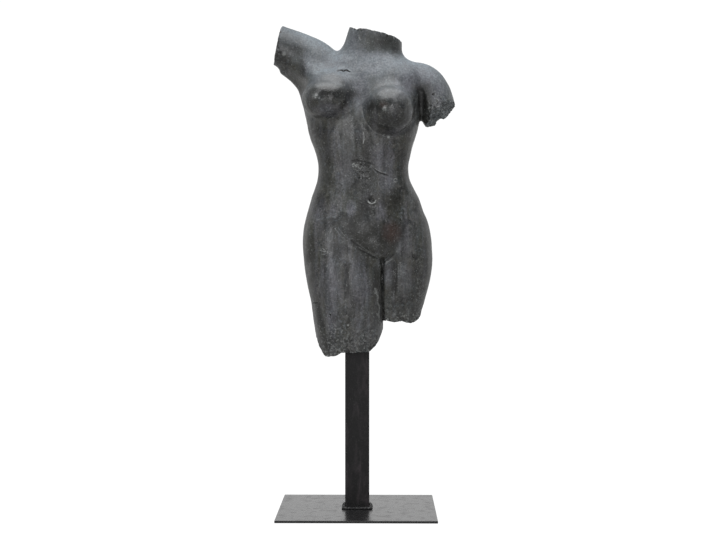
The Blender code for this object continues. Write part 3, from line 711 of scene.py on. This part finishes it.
def near_marks(points, reach):
    """True for the points of the front that a mark reaches."""
    close = np.zeros(len(points), bool)
    flat = points[:, [0, 2]]
    paths = [(smooth_line(path), half_width) for path, half_width, *_ in MARKS]
    paths += [(np.array([centre]), radius) for centre, radius, *_ in SPOTS]
    for line, half_width in paths:
        low, high = line.min(axis=0) - MARK_MARGIN, line.max(axis=0) + MARK_MARGIN
        beside = ((flat > low) & (flat < high)).all(axis=1)
        chosen = np.flatnonzero(beside & (points[:, 1] < FRONT_DEPTH))
        apart = np.linalg.norm(flat[chosen, None] - line[None], axis=2).min(axis=1)
        close[chosen[apart < half_width + reach]] = True
    return close


def depth_inside(points, end):
    """How far inside a broken face each point lies."""
    out, side, _ = end.directions()
    apart = points - np.array(end.middle)
    profile = np.array(end.heights, float)
    along = apart @ np.array(side)
    inside = np.interp(along, profile[:, 0], profile[:, 1]) - apart @ np.array(out)
    return np.where(np.abs(along) < end.half_width + 4, inside, 1e3)


def near_breaks(points):
    """Depth under the nearest broken face, and how much that edge crumbles."""
    depths = np.array([depth_inside(points, end) for end in BREAKS])
    crumbling = np.array([end.crumbling for end in BREAKS])
    return depths.min(axis=0), crumbling[depths.argmin(axis=0)]


def divided(mesh, chosen):
    """The mesh with the edges whose two ends are chosen cut in half."""
    made = bmesh.new()
    made.from_mesh(mesh)
    edges = [e for e in made.edges if chosen[e.verts[0].index] and chosen[e.verts[1].index]]
    bmesh.ops.subdivide_edges(made, edges=edges, cuts=1, use_grid_fill=True)
    made.to_mesh(mesh)
    made.free()


for reach in MARK_REACHES:
    skin = Skin(figure_mesh)
    chosen = near_marks(skin.points, reach)
    if reach == MARK_REACHES[0]:
        broken = np.abs(near_breaks(skin.points)[0]) < DIVIDED_BAND
        chosen |= broken & (skin.normals()[:, 2] > GROUND_FACING)
    divided(figure_mesh, chosen)
    print("divided within", reach, "mm of the marks:", len(figure_mesh.polygons), "faces")

# %% [markdown]
# ## Wear and marks
#
# A cast that passed through many hands is never quite even. The skin gets a slow unevenness, the broken
# edges crumble, and then each mark is pressed in or raised. The same strokes leave a mask for the finish:
# pale where the patina is rubbed through, dark where wax and dirt have gathered. A few marks are painted
# light instead: the groins' creases are painted dark as shade under pale painted highlights on their
# upper edges, and the nipples get soft painted highlights.

# %% Crumble the edges, press in the marks, and remember where they are
UNEVEN = ((24.0, 0.45), (9.0, 0.22), (4.0, 0.10))
CRUMBLE, CRUMB_SIZE = 2.0, 3.6
PIT_COUNT, PIT_BAND, PIT_RADII, PIT_DEPTH, PIT_DIRT = 220, 0.9, (1.4, 3.0), 0.45, 0.7

skin = Skin(figure_mesh)
normals = skin.normals()
uneven = np.zeros(len(skin.points))
for size, height in UNEVEN:
    uneven += [height * noise.noise(Vector(p) / size) for p in skin.points]
inside, crumbling = near_breaks(skin.points)
edge = crumbling * np.clip(1 - np.abs(inside) / BREAK_BAND, 0, 1) ** 1.5
crumble = np.array([rough(Vector(p), CRUMB_SIZE) for p in skin.points])
skin.points += normals * (uneven + edge * CRUMBLE * np.minimum(crumble, 0.15))[:, None]

pale = np.zeros(len(skin.points))
dirt_and_shade = np.zeros(len(skin.points))
for path, half_width, depth, paleness, darkness in MARKS:
    close, amount = skin.along(path, half_width, ends=0.12)
    skin.points[close] -= skin.normals()[close] * (amount * depth)[:, None]
    pale[close] = np.maximum(pale[close], amount * paleness)
    dirt_and_shade[close] = np.maximum(dirt_and_shade[close], amount * darkness)
for centre, radius, height, paleness, darkness in SPOTS:
    skin.swell(centre, (radius, radius), height)
    amount = hill(np.linalg.norm((skin.points[:, [0, 2]] - centre) / (radius * 1.15), axis=1))
    amount *= skin.facing(normals, -1)
    pale = np.maximum(pale, amount * paleness)
    dirt_and_shade = np.maximum(dirt_and_shade, amount * darkness)
print("pale points:", int((pale > 0.3).sum()), "dirty points:", int((dirt_and_shade > 0.3).sum()))

# %% Small pits near the breaks
picker = np.random.default_rng(7)
candidates = np.flatnonzero(np.abs(inside) < BREAK_BAND * PIT_BAND)
for index in picker.choice(candidates, PIT_COUNT, replace=False):
    centre, radius = skin.points[index].copy(), picker.uniform(*PIT_RADII)
    amount = hill(np.linalg.norm(skin.points - centre, axis=1) / radius)
    skin.points -= normals * (amount * radius * PIT_DEPTH)[:, None]
    dirt_and_shade = np.maximum(dirt_and_shade, amount * PIT_DIRT)
print("pits:", PIT_COUNT)

# %% Broad places that the materials read as masks: stains and painted shade, films and painted highlights, polish and the brown patch
# Dark lines, mostly painted shade in the armpits and along the grooves and clefts of the thighs and
# belly, partly dirt: path (x, z), half width, strength
SHADE_AND_DIRT_LINES = (
    (((-94.5, 757), (-89.2, 734.4), (-90, 713)), 8, 0.75),
    (((113, 714), (112, 689), (113, 664)), 13, 1.0),
    (((-14, 416), (-14, 390), (-13, 350)), 6, 1.0),
    (((62, 418), (63, 390), (60, 350)), 8, 1.0),
    (((-63.7, 350), (-60.5, 327.4), (-51, 288.9)), 9, 0.95),
    (((-96, 770), (-112, 776), (-126, 782)), 7, 0.4),
    (((33, 412), (32, 390), (31, 350)), 10, 0.8),
    (((37, 360), (38, 330), (40, 300)), 6, 0.7),
    (((12, 640), (15, 590), (17, 545), (22, 524)), 9, 0.45),
)
# Soft oval places for the masks: centre x and z, radii across and up, strength
PLACES = {
    # A warm brown patch
    "brown": (
        (57.5, 463, 14, 16, 1.0), (44, 668, 7, 5, 0.5),
    ),
    # Where the patina is darkest, and painted shade: under the breasts, in the left armpit and on the
    # sides that turn away from the light
    "dark": (
        (14, 543, 13, 26, 0.7), (17, 500, 15, 22, 0.85), (-49, 604, 7, 24, 0.6), (18, 604, 7, 26, 0.9),
        (-40, 476, 12, 12, 0.6), (57, 516, 14, 22, 0.45), (72, 465, 9, 16, 0.8), (13, 556, 8, 30, 0.7),
        (-66, 520, 10, 24, 0.4), (-60, 566, 10, 34, 0.5), (78, 566, 10, 34, 0.5),
        (28, 456, 36, 24, 0.8), (2, 472, 32, 20, 0.9), (60, 642, 32, 16, 0.8), (34, 666, 22, 12, 0.9),
        (-38, 689, 38, 9, 1.0), (-62, 672, 16, 14, 0.4), (100, 360, 12, 50, 0.5),
        (-78, 400, 10, 60, 0.7), (-48, 284, 24, 18, 0.5), (116, 440, 8, 60, 0.5),
        (44, 778, 20, 11, 0.7), (64, 768, 9, 18, 0.8), (-128, 764, 12, 20, 0.6), (109, 678, 9, 28, 1.0),
        (12, 788, 16, 6, 0.5), (-106, 768, 22, 13, 0.75), (104, 690, 6, 26, 0.6),
    ),
    # Dirt all round the raised arm's end
    "round dark": (
        (-122, 778, 26, 30, 0.55),
    ),
    # Where the patina is olive
    "olive": (
        (-46, 545, 11, 36, 0.8), (57, 508, 14, 26, 0.8), (86, 600, 10, 40, 0.6), (-78, 430, 9, 60, 0.7),
        (28, 352, 12, 40, 0.3), (30, 452, 38, 24, 0.7), (-30, 640, 34, 9, 0.5), (36, 774, 30, 13, 0.8),
        (-98, 744, 13, 22, 0.5), (-66, 600, 8, 40, 0.5),
    ),
    # Pale films of dried wax, and mostly painted light: highlights of the lamps on the thighs, belly,
    # ribs and the right breast's underside, and the top light on the chest and shoulders
    "film_and_highlight": (
        (-28, 602, 20, 20, 0.15), (-4, 622, 14, 16, 0.15), (42, 582, 17, 22, 0.8),
        (50, 548, 13, 22, 0.7), (-22, 560, 16, 26, 0.3), (-42, 488, 10, 18, 0.25),
        (-9, 499, 7, 14, 1.0), (39, 497, 9, 15, 0.6), (-41, 372, 11, 48, 1.0), (0, 384, 9, 32, 0.7),
        (-42, 322, 9, 28, 0.85), (51, 396, 7, 22, 0.8), (-55, 388, 6, 30, 0.5), (14, 372, 10, 34, 0.5),
        (-62, 482, 12, 24, 0.4), (-46, 662, 20, 9, 0.8), (-6, 776, 12, 20, 0.6), (30, 752, 34, 8, 0.7),
        (78, 388, 10, 34, 0.4), (76, 446, 14, 26, 0.55), (-36, 440, 20, 24, 0.25),
        (20, 310, 26, 36, 0.3), (6, 692, 14, 34, 0.8), (-84, 742, 13, 16, 0.5), (100, 724, 32, 24, 1.0),
        (-20, 742, 50, 14, 0.6), (40, 736, 40, 14, 0.6), (124, 708, 14, 18, 0.5), (86, 640, 9, 24, 0.5),
        (78, 706, 15, 22, 1.0), (136, 692, 12, 22, 0.8),
    ),
    # Polished by hands and cloths
    "polished": (
        (-48, 694, 36, 26, 0.8), (52, 684, 36, 30, 0.6),
    ),
    # Duller than the rest
    "dulled": (
        (-18, 575, 16, 50, 1.0), (-26, 470, 24, 30, 0.6), (44, 560, 20, 50, 0.5),
        (-38, 366, 18, 60, 0.9), (2, 372, 16, 50, 0.7),
    ),
    # With the speckle of a crumbled surface
    "speckled": (
        (-44, 284, 26, 28, 1.0), (6, 284, 40, 18, 0.5), (138, 672, 16, 22, 0.8), (84, 324, 30, 12, 0.6),
        (104, 360, 8, 60, 0.6),
    ),
}
# A painted highlight: a pale arc round the left breast's lower side, where its edge catches the light:
# path (x, z), half width, strength
RIM_HIGHLIGHT_ARC = (arc((54, 661), 36, 250, 350), 9, 0.7)
PLACE_GROWTH, PLACE_SHARPNESS = 1.35, 0.5


def places(name, all_round=False):
    """One mask for a group of soft oval places on the front, or all round."""
    mask = np.zeros(len(skin.points))
    for x, z, across, up, strength in PLACES[name]:
        apart = (skin.points[:, [0, 2]] - (x, z)) / (np.array((across, up)) * PLACE_GROWTH)
        mask = np.maximum(mask, hill(np.linalg.norm(apart, axis=1)) ** PLACE_SHARPNESS * strength)
    return mask if all_round else mask * skin.facing(normals, -1)


def brushed(mask, path, half_width, strength):
    """Lays a soft brush line over a mask."""
    close, amount = skin.along(path, half_width, ends=0.25)
    mask[close] = np.maximum(mask[close], amount * strength)


# The dark lines add painted shade, and some dirt, to the dirt mask
for dark_line in SHADE_AND_DIRT_LINES:
    brushed(dirt_and_shade, *dark_line)
film_and_highlight = places("film_and_highlight")
brushed(film_and_highlight, *RIM_HIGHLIGHT_ARC)
# The dark places add painted shade under the breasts, in the armpit and on the turned sides, beside the
# darkest patina
for darker in (places("dark"), places("round dark", all_round=True)):
    dirt_and_shade = np.maximum(dirt_and_shade, darker)
# The dirt mask also holds painted shade, the film mask painted highlights, and the pale mask a few small
# painted highlights
masks = {
    "pale": pale,
    "dirt_and_shade": dirt_and_shade,
    "brown": places("brown"),
    "film_and_highlight": film_and_highlight,
    "edge": np.maximum(edge, places("speckled")),
    "polish": places("polished") - places("dulled"),
    "olive": places("olive"),
}
skin.store()

# %% Find the hollows and the ridges, which take dirt and rubbing
def hollowness(skin, rounds):
    """Above 0 in hollows, below 0 on ridges: the bend of the skin, spread a little."""
    lengths = np.linalg.norm(skin.points[skin.edges[:, 0]] - skin.points[skin.edges[:, 1]], axis=1)
    total = np.zeros(len(skin.points))
    for end in (0, 1):
        total += np.bincount(skin.edges[:, end], weights=lengths**2, minlength=len(total))
    bend = np.einsum("ij,ij->i", skin.pull(), skin.normals()) / (total / skin.degree)
    for _ in range(rounds):
        bend = 0.5 * (bend + skin.spread(bend))
    return bend


# Rounds of spreading, and how much the result counts
FINE_BEND, BROAD_BEND = (3, 6), (24, 14)
bends = [hollowness(skin, rounds) * weight for rounds, weight in (FINE_BEND, BROAD_BEND)]
masks["hollow"] = bends[0] + bends[1]
print("hollow:", np.percentile(masks["hollow"], (2, 50, 98)).round(3))


def keep(mesh, name, values):
    """Stores one number for each point, for the materials to read."""
    layer = mesh.attributes.new(name, "FLOAT", "POINT")
    layer.data.foreach_set("value", np.clip(values, -1, 1).astype(np.float32))


for name, values in masks.items():
    keep(figure_mesh, name, values)

# %% [markdown]
# ## Onto the post
#
# The figure is drawn in millimetres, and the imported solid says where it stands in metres. Stretching it
# to that box, by less than a hair, keeps the dressed figure exactly as large as the solid. Then the
# square seat for the post is cut into the broken thigh, a fit wider than the tube.

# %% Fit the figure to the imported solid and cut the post's seat
FIT_GAP = 0.0003
SEAT_CUTTER = 0.06
SHARP_FROM = math.radians(48)

low, high = skin.points.min(axis=0), skin.points.max(axis=0)
box_low, box_high = (np.array(corner, float) for corner in TORSO_BOX)
stretch = (box_high - box_low) / (high - low)
fit = Matrix.Diagonal((*stretch, 1))
fit.translation = Vector(box_low - low * stretch)
figure_mesh.transform(fit)
print("stretch:", stretch.round(6))

post_low, post_high = (Vector(corner) for corner in POST_BOX)
seat = bmesh.new()
bmesh.ops.create_cube(seat, size=1)
size = post_high - post_low
size = (size.x + 2 * FIT_GAP, size.y + 2 * FIT_GAP, SEAT_CUTTER)
bmesh.ops.scale(seat, verts=seat.verts, vec=size)
bmesh.ops.translate(seat, verts=seat.verts, vec=(0, 0, post_high.z + FIT_GAP - SEAT_CUTTER / 2))
seat_mesh = finished(seat, "seat")
seat_mesh.materials.append(core)
figure_mesh = cut_away(figure_mesh, [seat_mesh], solvers=("MANIFOLD", "EXACT"))

figure_mesh.name = "torso_skin"
figure_mesh.shade_smooth()
figure_mesh.set_sharp_from_angle(angle=SHARP_FROM)
torso = placed("torso_cast", figure_mesh)
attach(torso, "root")
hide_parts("torso")
figure_mesh.calc_loop_triangles()
print("torso:", len(figure_mesh.loop_triangles), "triangles,", [m.name for m in figure_mesh.materials])

# %% [markdown]
# ## The weld
#
# Where the post meets the plate, a welder laid one bead all round: small overlapping ripples, painted
# over. The solid bead is coarse, so a finer one replaces it, inside the same space.

# %% Lay the bead
BEAD_STEPS = 520
RIPPLE = 0.0021
POST_CORNER = 0.002
# The bead's largest bulge, and its height against its width
BULGE, BEAD_RISE = 1.12, 0.93
post_half = (post_high.x - post_low.x) / 2 + FIT_GAP
bead_leg = (WELD_BOX[1][0] - post_half) / BULGE
bead_bottom = WELD_BOX[0][2]
bead_top = WELD_BOX[1][2]


def round_the_post(half, corner, count):
    """Places round a square with rounded corners, each with its outward direction."""
    straight, bend = 2 * (half - corner), math.pi / 2 * corner
    places = []
    for step in range(count):
        turn = step / count * 4
        side, along = int(turn), (turn % 1) * (straight + bend)
        if along < straight:
            foot, away = Vector((half, along - straight / 2, 0)), Vector((1, 0, 0))
        else:
            angle = (along - straight) / corner
            away = Vector((math.cos(angle), math.sin(angle), 0))
            foot = Vector((half - corner, half - corner, 0)) + away * corner
        turned = Matrix.Rotation(math.radians(90 * side), 3, "Z")
        places.append((turned @ foot, turned @ away, step / count * 4 * (straight + bend)))
    return places


bead = bmesh.new()
loops = []
for foot, away, run in round_the_post(post_half, POST_CORNER, BEAD_STEPS):
    ripple = abs(math.sin(math.pi * run / RIPPLE))
    lump = 0.80 + 0.12 * ripple + 0.16 * noise.noise(Vector((run * 260, 0.3, 0)))
    lump += 0.08 * noise.noise(Vector((run * 900, 7.3, 0)))
    leg = bead_leg * min(lump, 1.1)
    ring = [(0, 0)]
    for angle in np.linspace(0, math.pi / 2, 9):
        ring.append((leg * math.cos(angle) ** 0.9, leg * BEAD_RISE * math.sin(angle) ** 0.9))
    low_part = [foot + away * out + Vector((0, 0, min(bead_bottom + up, bead_top))) for out, up in ring]
    loops.append([bead.verts.new(p) for p in low_part])
for here, there in zip(loops, loops[1:] + loops[:1]):
    for i in range(len(here)):
        after = (i + 1) % len(here)
        bead.faces.new((here[i], here[after], there[after], there[i]))
bmesh.ops.recalc_face_normals(bead, faces=bead.faces)
bead_mesh = finished(bead, "weld_ripples")
bead_mesh.shade_smooth()
weld = placed("weld_ripples", bead_mesh)
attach(weld, "root")
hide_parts("weld_bead")
print("bead:", len(bead_mesh.polygons), "faces")

# %% [markdown]
# ## Materials
#
# Each material is built from small nodes in real millimetres. One helper turns a colour as a picture
# editor shows it into the linear numbers that light needs; the others add nodes to one material.

# %% Helpers for colours and nodes
def linear(colour):
    """An sRGB hex colour as linear numbers."""
    parts = [int(colour[i : i + 2], 16) / 255 for i in (1, 3, 5)]
    return (*(p / 12.92 if p <= 0.04045 else ((p + 0.055) / 1.055) ** 2.4 for p in parts), 1.0)


MIX_FACTOR, MIX_A, MIX_B, MIX_RESULT = 0, 6, 7, 2


class Look:
    """A node tree being filled; each helper returns the new node's result."""

    def __init__(self, owner):
        owner.use_nodes = True
        self.tree = owner.node_tree

    def add(self, kind, links=None, **settings):
        """A node with its settings; links gives values or other nodes' sockets for its inputs."""
        node = self.tree.nodes.new("ShaderNode" + kind)
        for name, value in settings.items():
            setattr(node, name, value)
        for name, value in (links or {}).items():
            if isinstance(value, bpy.types.NodeSocket):
                self.tree.links.new(value, node.inputs[name])
            else:
                node.inputs[name].default_value = value
        return node

    def finish(self, values):
        """Values or sockets for the material's own shader."""
        shader = self.tree.nodes["Principled BSDF"]
        for name, value in values.items():
            if isinstance(value, bpy.types.NodeSocket):
                self.tree.links.new(value, shader.inputs[name])
            else:
                shader.inputs[name].default_value = value

    def place(self, upright=1.0):
        """Where a point is on the object; below 1, patterns are drawn out upright."""
        place = self.add("TexCoord").outputs["Object"]
        if upright == 1.0:
            return place
        return self.add("Mapping", {"Vector": place, "Scale": (1.0, 1.0, upright)}).outputs["Vector"]

    def spread(self, value, low=0.0, high=1.0, to=(0.0, 1.0), **settings):
        """A number moved from one range to another."""
        links = {"Value": value, "From Min": low, "From Max": high, "To Min": to[0], "To Max": to[1]}
        return self.add("MapRange", links, **settings).outputs["Result"]

    def pattern(self, place, size_mm, low, high, detail=4.0, to=(0.0, 1.0), **more):
        """Noise whose lumps are about size_mm across, spread between two values."""
        links = {"Vector": place, "Scale": 1000 / size_mm, "Detail": detail, "Roughness": 0.6, **more}
        return self.spread(self.add("TexNoise", links).outputs["Fac"], low, high, to)

    def blend(self, factor, first, second):
        """A colour between two others."""
        links = {MIX_FACTOR: factor, MIX_A: first, MIX_B: second}
        return self.add("Mix", links, data_type="RGBA").outputs[MIX_RESULT]

    def times(self, first, second, operation="MULTIPLY"):
        """Two numbers multiplied, kept between 0 and 1."""
        return self.add("Math", {0: first, 1: second}, operation=operation, use_clamp=True).outputs[0]

    def plus(self, first, second):
        """Two numbers added, kept between 0 and 1."""
        return self.times(first, second, "ADD")

    def bump(self, height, distance):
        """A fine relief for light only."""
        links = {"Height": height, "Distance": distance, "Strength": 0.5}
        return self.add("Bump", links).outputs["Normal"]


print("linear mid grey:", linear("#808080")[0])

# %% [markdown]
# ### Resin-bonded cast stone with a dark waxed patina
#
# Stone powder in resin, cast in a mould, then washed with dark pigment, waxed and rubbed. The eye sees a
# satin, nearly black skin, a chalky bloom on what faces up, wax and dirt in the hollows, and pale rubbing
# where hands and cloths pass. The layers lie over each other as they came onto the real thing: pigment
# first, then wax films, chips, bloom, grime and rubbing. Some layers are partly painted light: the bloom
# also paints the top light, the films paint the lamps' highlights and the top-lit chest, and the grime
# paints shade in creases, under the breasts and in the armpits. Clear wax over stone has an IOR near 1.5.

# %% Build the patina
# Some colours also paint light: the chalk colour a painted top light with the bloom, the film colour
# painted highlights, the rubbed colour a few small painted highlights, the dirt colour painted shade
DARK, MID, GREEN = linear("#100f0e"), linear("#52504c"), linear("#393829")
CHALK_AND_TOP_LIGHT, FILM_AND_HIGHLIGHT, RUBBED_AND_HIGHLIGHT = linear("#7c868d"), linear("#77767e"), linear("#a3a6a4")
DIRT_AND_SHADE, BROWN, OLIVE = linear("#151514"), linear("#43281f"), linear("#2c2b1e")
# The chalky bloom, with its painted top light, grows between these heights on the figure, in metres
BLOOM_AND_LIGHT_FROM, BLOOM_AND_LIGHT_TO = 0.60, 0.76


def stone(material, broken):
    """The cast stone's finish; a broken face is rougher and duller than the waxed skin."""
    look = Look(material)
    times, plus, pattern, spread = look.times, look.plus, look.pattern, look.spread
    place, upright = look.place(), look.place(0.14)
    mask = {name: look.add("Attribute", attribute_name=name).outputs["Fac"] for name in masks}
    crumbled = 1.0 if broken else mask["edge"]

    clouds = pattern(place, 34, 0.38, 0.62)
    wash = pattern(place, 9, 0.38, 0.62, 6.0, Distortion=0.8)
    grain = pattern(place, 3.0, 0.38, 0.62, 3.0)
    spots = pattern(upright, 3.0, 0.56, 0.68, 5.0)
    shade = pattern(upright, 20, 0.46, 0.6, 5.0, Distortion=0.6)
    runs = pattern(upright, 5, 0.42, 0.66, 4.0)
    rubs = pattern(place, 5, 0.55, 0.68, 8.0, Distortion=1.2)
    specks = pattern(place, 2.9, 0.62, 0.72, 2.0)
    chips = times(pattern(place, 3.8, 0.52, 0.6, 5.0), crumbled)
    holes = times(pattern(place, 3.3, 0.5, 0.58, 3.0), crumbled)
    patches = pattern(place, 26, 0.42, 0.6)
    dry = times(pattern(place, 3.4, 0.52, 0.64, 6.0, Distortion=0.6), patches)
    # Wax films, over which the film places lay painted highlights and a painted top light
    film_and_highlight = times(pattern(upright, 16, 0.5, 0.66, 5.0, Distortion=0.7), 0.45)
    film_and_highlight = plus(film_and_highlight, mask["film_and_highlight"])
    film_and_highlight = times(film_and_highlight, pattern(place, 5, 0.3, 0.58, 5.0, (0.6, 1.0), Distortion=0.8))

    facing = look.add("NewGeometry").outputs["Normal"]
    # Chalky bloom and painted top light: skin that faces up, high on the figure, is painted paler, as
    # light from above would leave it
    up = spread(look.add("SeparateXYZ", {"Vector": facing}).outputs["Z"], -0.3, 0.95)
    height = look.add("SeparateXYZ", {"Vector": place}).outputs["Z"]
    top = spread(height, BLOOM_AND_LIGHT_FROM, BLOOM_AND_LIGHT_TO, (0.10, 0.95), interpolation_type="SMOOTHSTEP")
    kept = spread(mask["polish"], to=(1.0, 0.3))
    bloom_and_top_light = times(times(up, top), pattern(place, 14, 0.3, 0.6, 6.0, (0.65, 1.0)))
    bloom_and_top_light = times(bloom_and_top_light, times(kept, 0.6) if broken else kept)

    deep = spread(mask["hollow"], 0.08, 0.9)
    smears = spread(wash, to=(0.74, 1.0))
    # Grime: patina in the hollows, dirt, and the painted shade from the dirt mask
    grime_and_shade = plus(times(deep, 0.8), times(mask["dirt_and_shade"], smears))
    ridge = spread(mask["hollow"], -0.1, -0.9)
    # Rubbing on the ridges, and the pale marks, which include the painted highlights of the nipples and
    # the groins' edges
    wear_and_highlight = plus(times(times(ridge, 0.5), rubs), times(rubs, 0.15))
    wear_and_highlight = plus(wear_and_highlight, times(mask["pale"], pattern(place, 2.2, 0.3, 0.6, 2.0, (0.3, 1.0))))

    colour = look.blend(wash, DARK, MID)
    for layer, strength, tint in (
        (clouds, 0.7, GREEN),
        (film_and_highlight, 0.8, FILM_AND_HIGHLIGHT),
        (spots, 0.8, DIRT_AND_SHADE),
        (shade, 0.5, DIRT_AND_SHADE),
        (dry, 0.35, CHALK_AND_TOP_LIGHT),
        (chips, 0.8, RUBBED_AND_HIGHLIGHT),
        (holes, 0.9, DIRT_AND_SHADE),
        (runs, times(clouds, 0.22), CHALK_AND_TOP_LIGHT),
        (bloom_and_top_light, 1.0, CHALK_AND_TOP_LIGHT),
        (mask["olive"], times(smears, 0.7), OLIVE),
        (mask["polish"], 0.4, DARK),
        (grime_and_shade, 1.0, DIRT_AND_SHADE),
        (mask["brown"], times(smears, 0.6), BROWN),
        (wear_and_highlight, 1.0, RUBBED_AND_HIGHLIGHT),
        (specks, 0.4, RUBBED_AND_HIGHLIGHT),
        (grain, 0.42, CHALK_AND_TOP_LIGHT if broken else DIRT_AND_SHADE),
    ):
        colour = look.blend(times(layer, strength), colour, tint)

    sheen = spread(wash, to=(0.55, 0.8) if broken else (0.25, 0.37))
    sheen = times(sheen, spread(mask["polish"], -1.0, 1.0, (1.5, 0.6)))
    relief = plus(times(grain, 0.45), times(wash, 0.5))
    look.finish({
        "Base Color": colour,
        "Roughness": plus(sheen, times(bloom_and_top_light, 0.45)),
        "IOR": 1.5,
        "Normal": look.bump(relief, 0.0009 if broken else 0.00018),
    })


stone(patina, broken=False)
stone(core, broken=True)
print("stone nodes:", len(patina.node_tree.nodes))

# %% [markdown]
# ### Black satin paint on steel
#
# The post is a drawn square tube and the plate a sheared flat, both sprayed black. Satin paint shows a
# fine skin of its own and, seen low across the plate, it mirrors the bright room in a soft grey.

# %% Build the paints
DUST = linear("#8a8a88")


def paint(name, colour, smudge, gloss, peel_mm, peel_depth, ior=1.5):
    """Sprayed satin paint: smudges change its gloss, and a fine skin its surface."""
    material = bpy.data.materials.new(name)
    look = Look(material)
    place = look.place()
    smudges = look.pattern(look.place(0.3), 14, 0.5, 0.68, 6.0, Distortion=0.5)
    dust = look.pattern(place, 1.6, 0.6, 0.75, 2.0)
    shade = look.blend(look.times(smudges, 0.8), linear(colour), linear(smudge))
    look.finish({
        "Base Color": look.blend(look.times(dust, 0.12), shade, DUST),
        "Roughness": look.spread(smudges, to=gloss),
        "IOR": ior,
        "Normal": look.bump(look.pattern(place, peel_mm, 0.3, 0.7, 2.0), peel_depth),
    })
    return material


tube_name = "satin black paint, sprayed on drawn steel tube"
flat_name = "satin black paint, sprayed on sheared steel plate"
bead_name = "satin black paint over a welded bead"
post_paint = paint(tube_name, "#080708", "#342e31", (0.42, 0.55), 1.6, 0.00006, 1.38)
plate_paint = paint(flat_name, "#1a1a1b", "#232323", (0.26, 0.34), 2.0, 0.00003)
for node, look in (("post", post_paint), ("base_plate", plate_paint)):
    for slot in bpy.data.objects[node].material_slots:
        slot.material = look
bead_mesh.materials.append(paint(bead_name, "#19191a", "#2e2e2e", (0.34, 0.5), 0.9, 0.0002))
print("paints:", post_paint.name, "|", plate_paint.name)

# %% [markdown]
# ## The studio
#
# A white sweep, a big soft light overhead, and two strip lights beside the camera. The white room behind
# the figure glances off its sides and draws the thin bright edges. The sweep is white to the eye but dim
# as a lamp, so that it doesn't light the figure from below.

# %% Floor, room and lights
FLOOR_RADIUS = 14
FLOOR_DROP = 0.0001
# How bright the floor and the room are as seen, and as lamps
FLOOR_SEEN, FLOOR_LIT = 1.02, 0.47
ROOM_SEEN, ROOM_BRIGHT, ROOM_FRONT, ROOM_BEHIND = 1.05, 0.55, 0.17, 0.55
WHITE = (1, 1, 1, 1)
LAMP_COLOUR = (0.985, 0.985, 1.0)

sweep = bmesh.new()
bmesh.ops.create_circle(sweep, cap_ends=True, segments=64, radius=FLOOR_RADIUS)
bmesh.ops.translate(sweep, verts=sweep.verts, vec=(0, 0, -FLOOR_DROP))
floor_mesh = finished(sweep, "floor")
floor = placed("floor", floor_mesh)
floor_material = bpy.data.materials.new("white paper sweep")
paper = Look(floor_material)
watched = paper.add("LightPath").outputs["Is Camera Ray"]
paper.finish({
    "Base Color": linear("#303030"),
    "Roughness": 0.9,
    "Emission Color": WHITE,
    "Emission Strength": paper.spread(watched, to=(FLOOR_LIT, FLOOR_SEEN)),
})
floor_mesh.materials.append(floor_material)

world = bpy.data.worlds.new("white room")
bpy.context.scene.world = world
room = Look(world)
room.tree.nodes.clear()
heading = room.add("TexCoord").outputs["Generated"]
ahead = room.add("SeparateXYZ", {"Vector": heading}).outputs["Y"]
depth = room.spread(ahead, -0.35, 0.25, (ROOM_FRONT, ROOM_BRIGHT), interpolation_type="SMOOTHSTEP")
behind = room.spread(ahead, 0.93, 0.98, (0.0, ROOM_BEHIND))
depth = room.add("Math", {0: depth, 1: behind}, operation="ADD").outputs[0]
lit = room.add("Background", {"Color": WHITE, "Strength": depth}).outputs[0]
white = room.add("Background", {"Color": WHITE, "Strength": ROOM_SEEN}).outputs[0]
seen = room.add("LightPath").outputs["Is Camera Ray"]
both = room.add("MixShader", {0: seen, 1: lit, 2: white}).outputs[0]
room.add("OutputWorld", {"Surface": both})


def softbox(name, place, target, wide, high, power):
    """A rectangular soft light turned to its target."""
    data = bpy.data.lights.new(name, "AREA")
    data.shape = "RECTANGLE"
    data.size, data.size_y = wide, high
    data.energy = power
    data.color = LAMP_COLOUR
    lamp = placed(name, data)
    lamp.location = place
    lamp.rotation_euler = (Vector(target) - Vector(place)).to_track_quat("-Z", "Y").to_euler()


softbox("overhead", (0.1, -0.6, 2.5), (0.1, -0.6, 0), 2.4, 2.1, 64)
softbox("front_left", (-1.0, -2.2, 0.72), (0, 0, 0.5), 0.36, 1.3, 12.5)
softbox("front_right", (0.66, -2.4, 0.72), (0, 0, 0.5), 0.30, 1.3, 8)
softbox("side_left", (-1.9, 1.3, 0.95), (0, 0, 0.6), 0.9, 1.8, 2.5)
softbox("side_right", (1.9, 1.3, 0.95), (0, 0, 0.6), 0.9, 1.8, 2.5)
bpy.context.scene.view_settings.view_transform = "Standard"
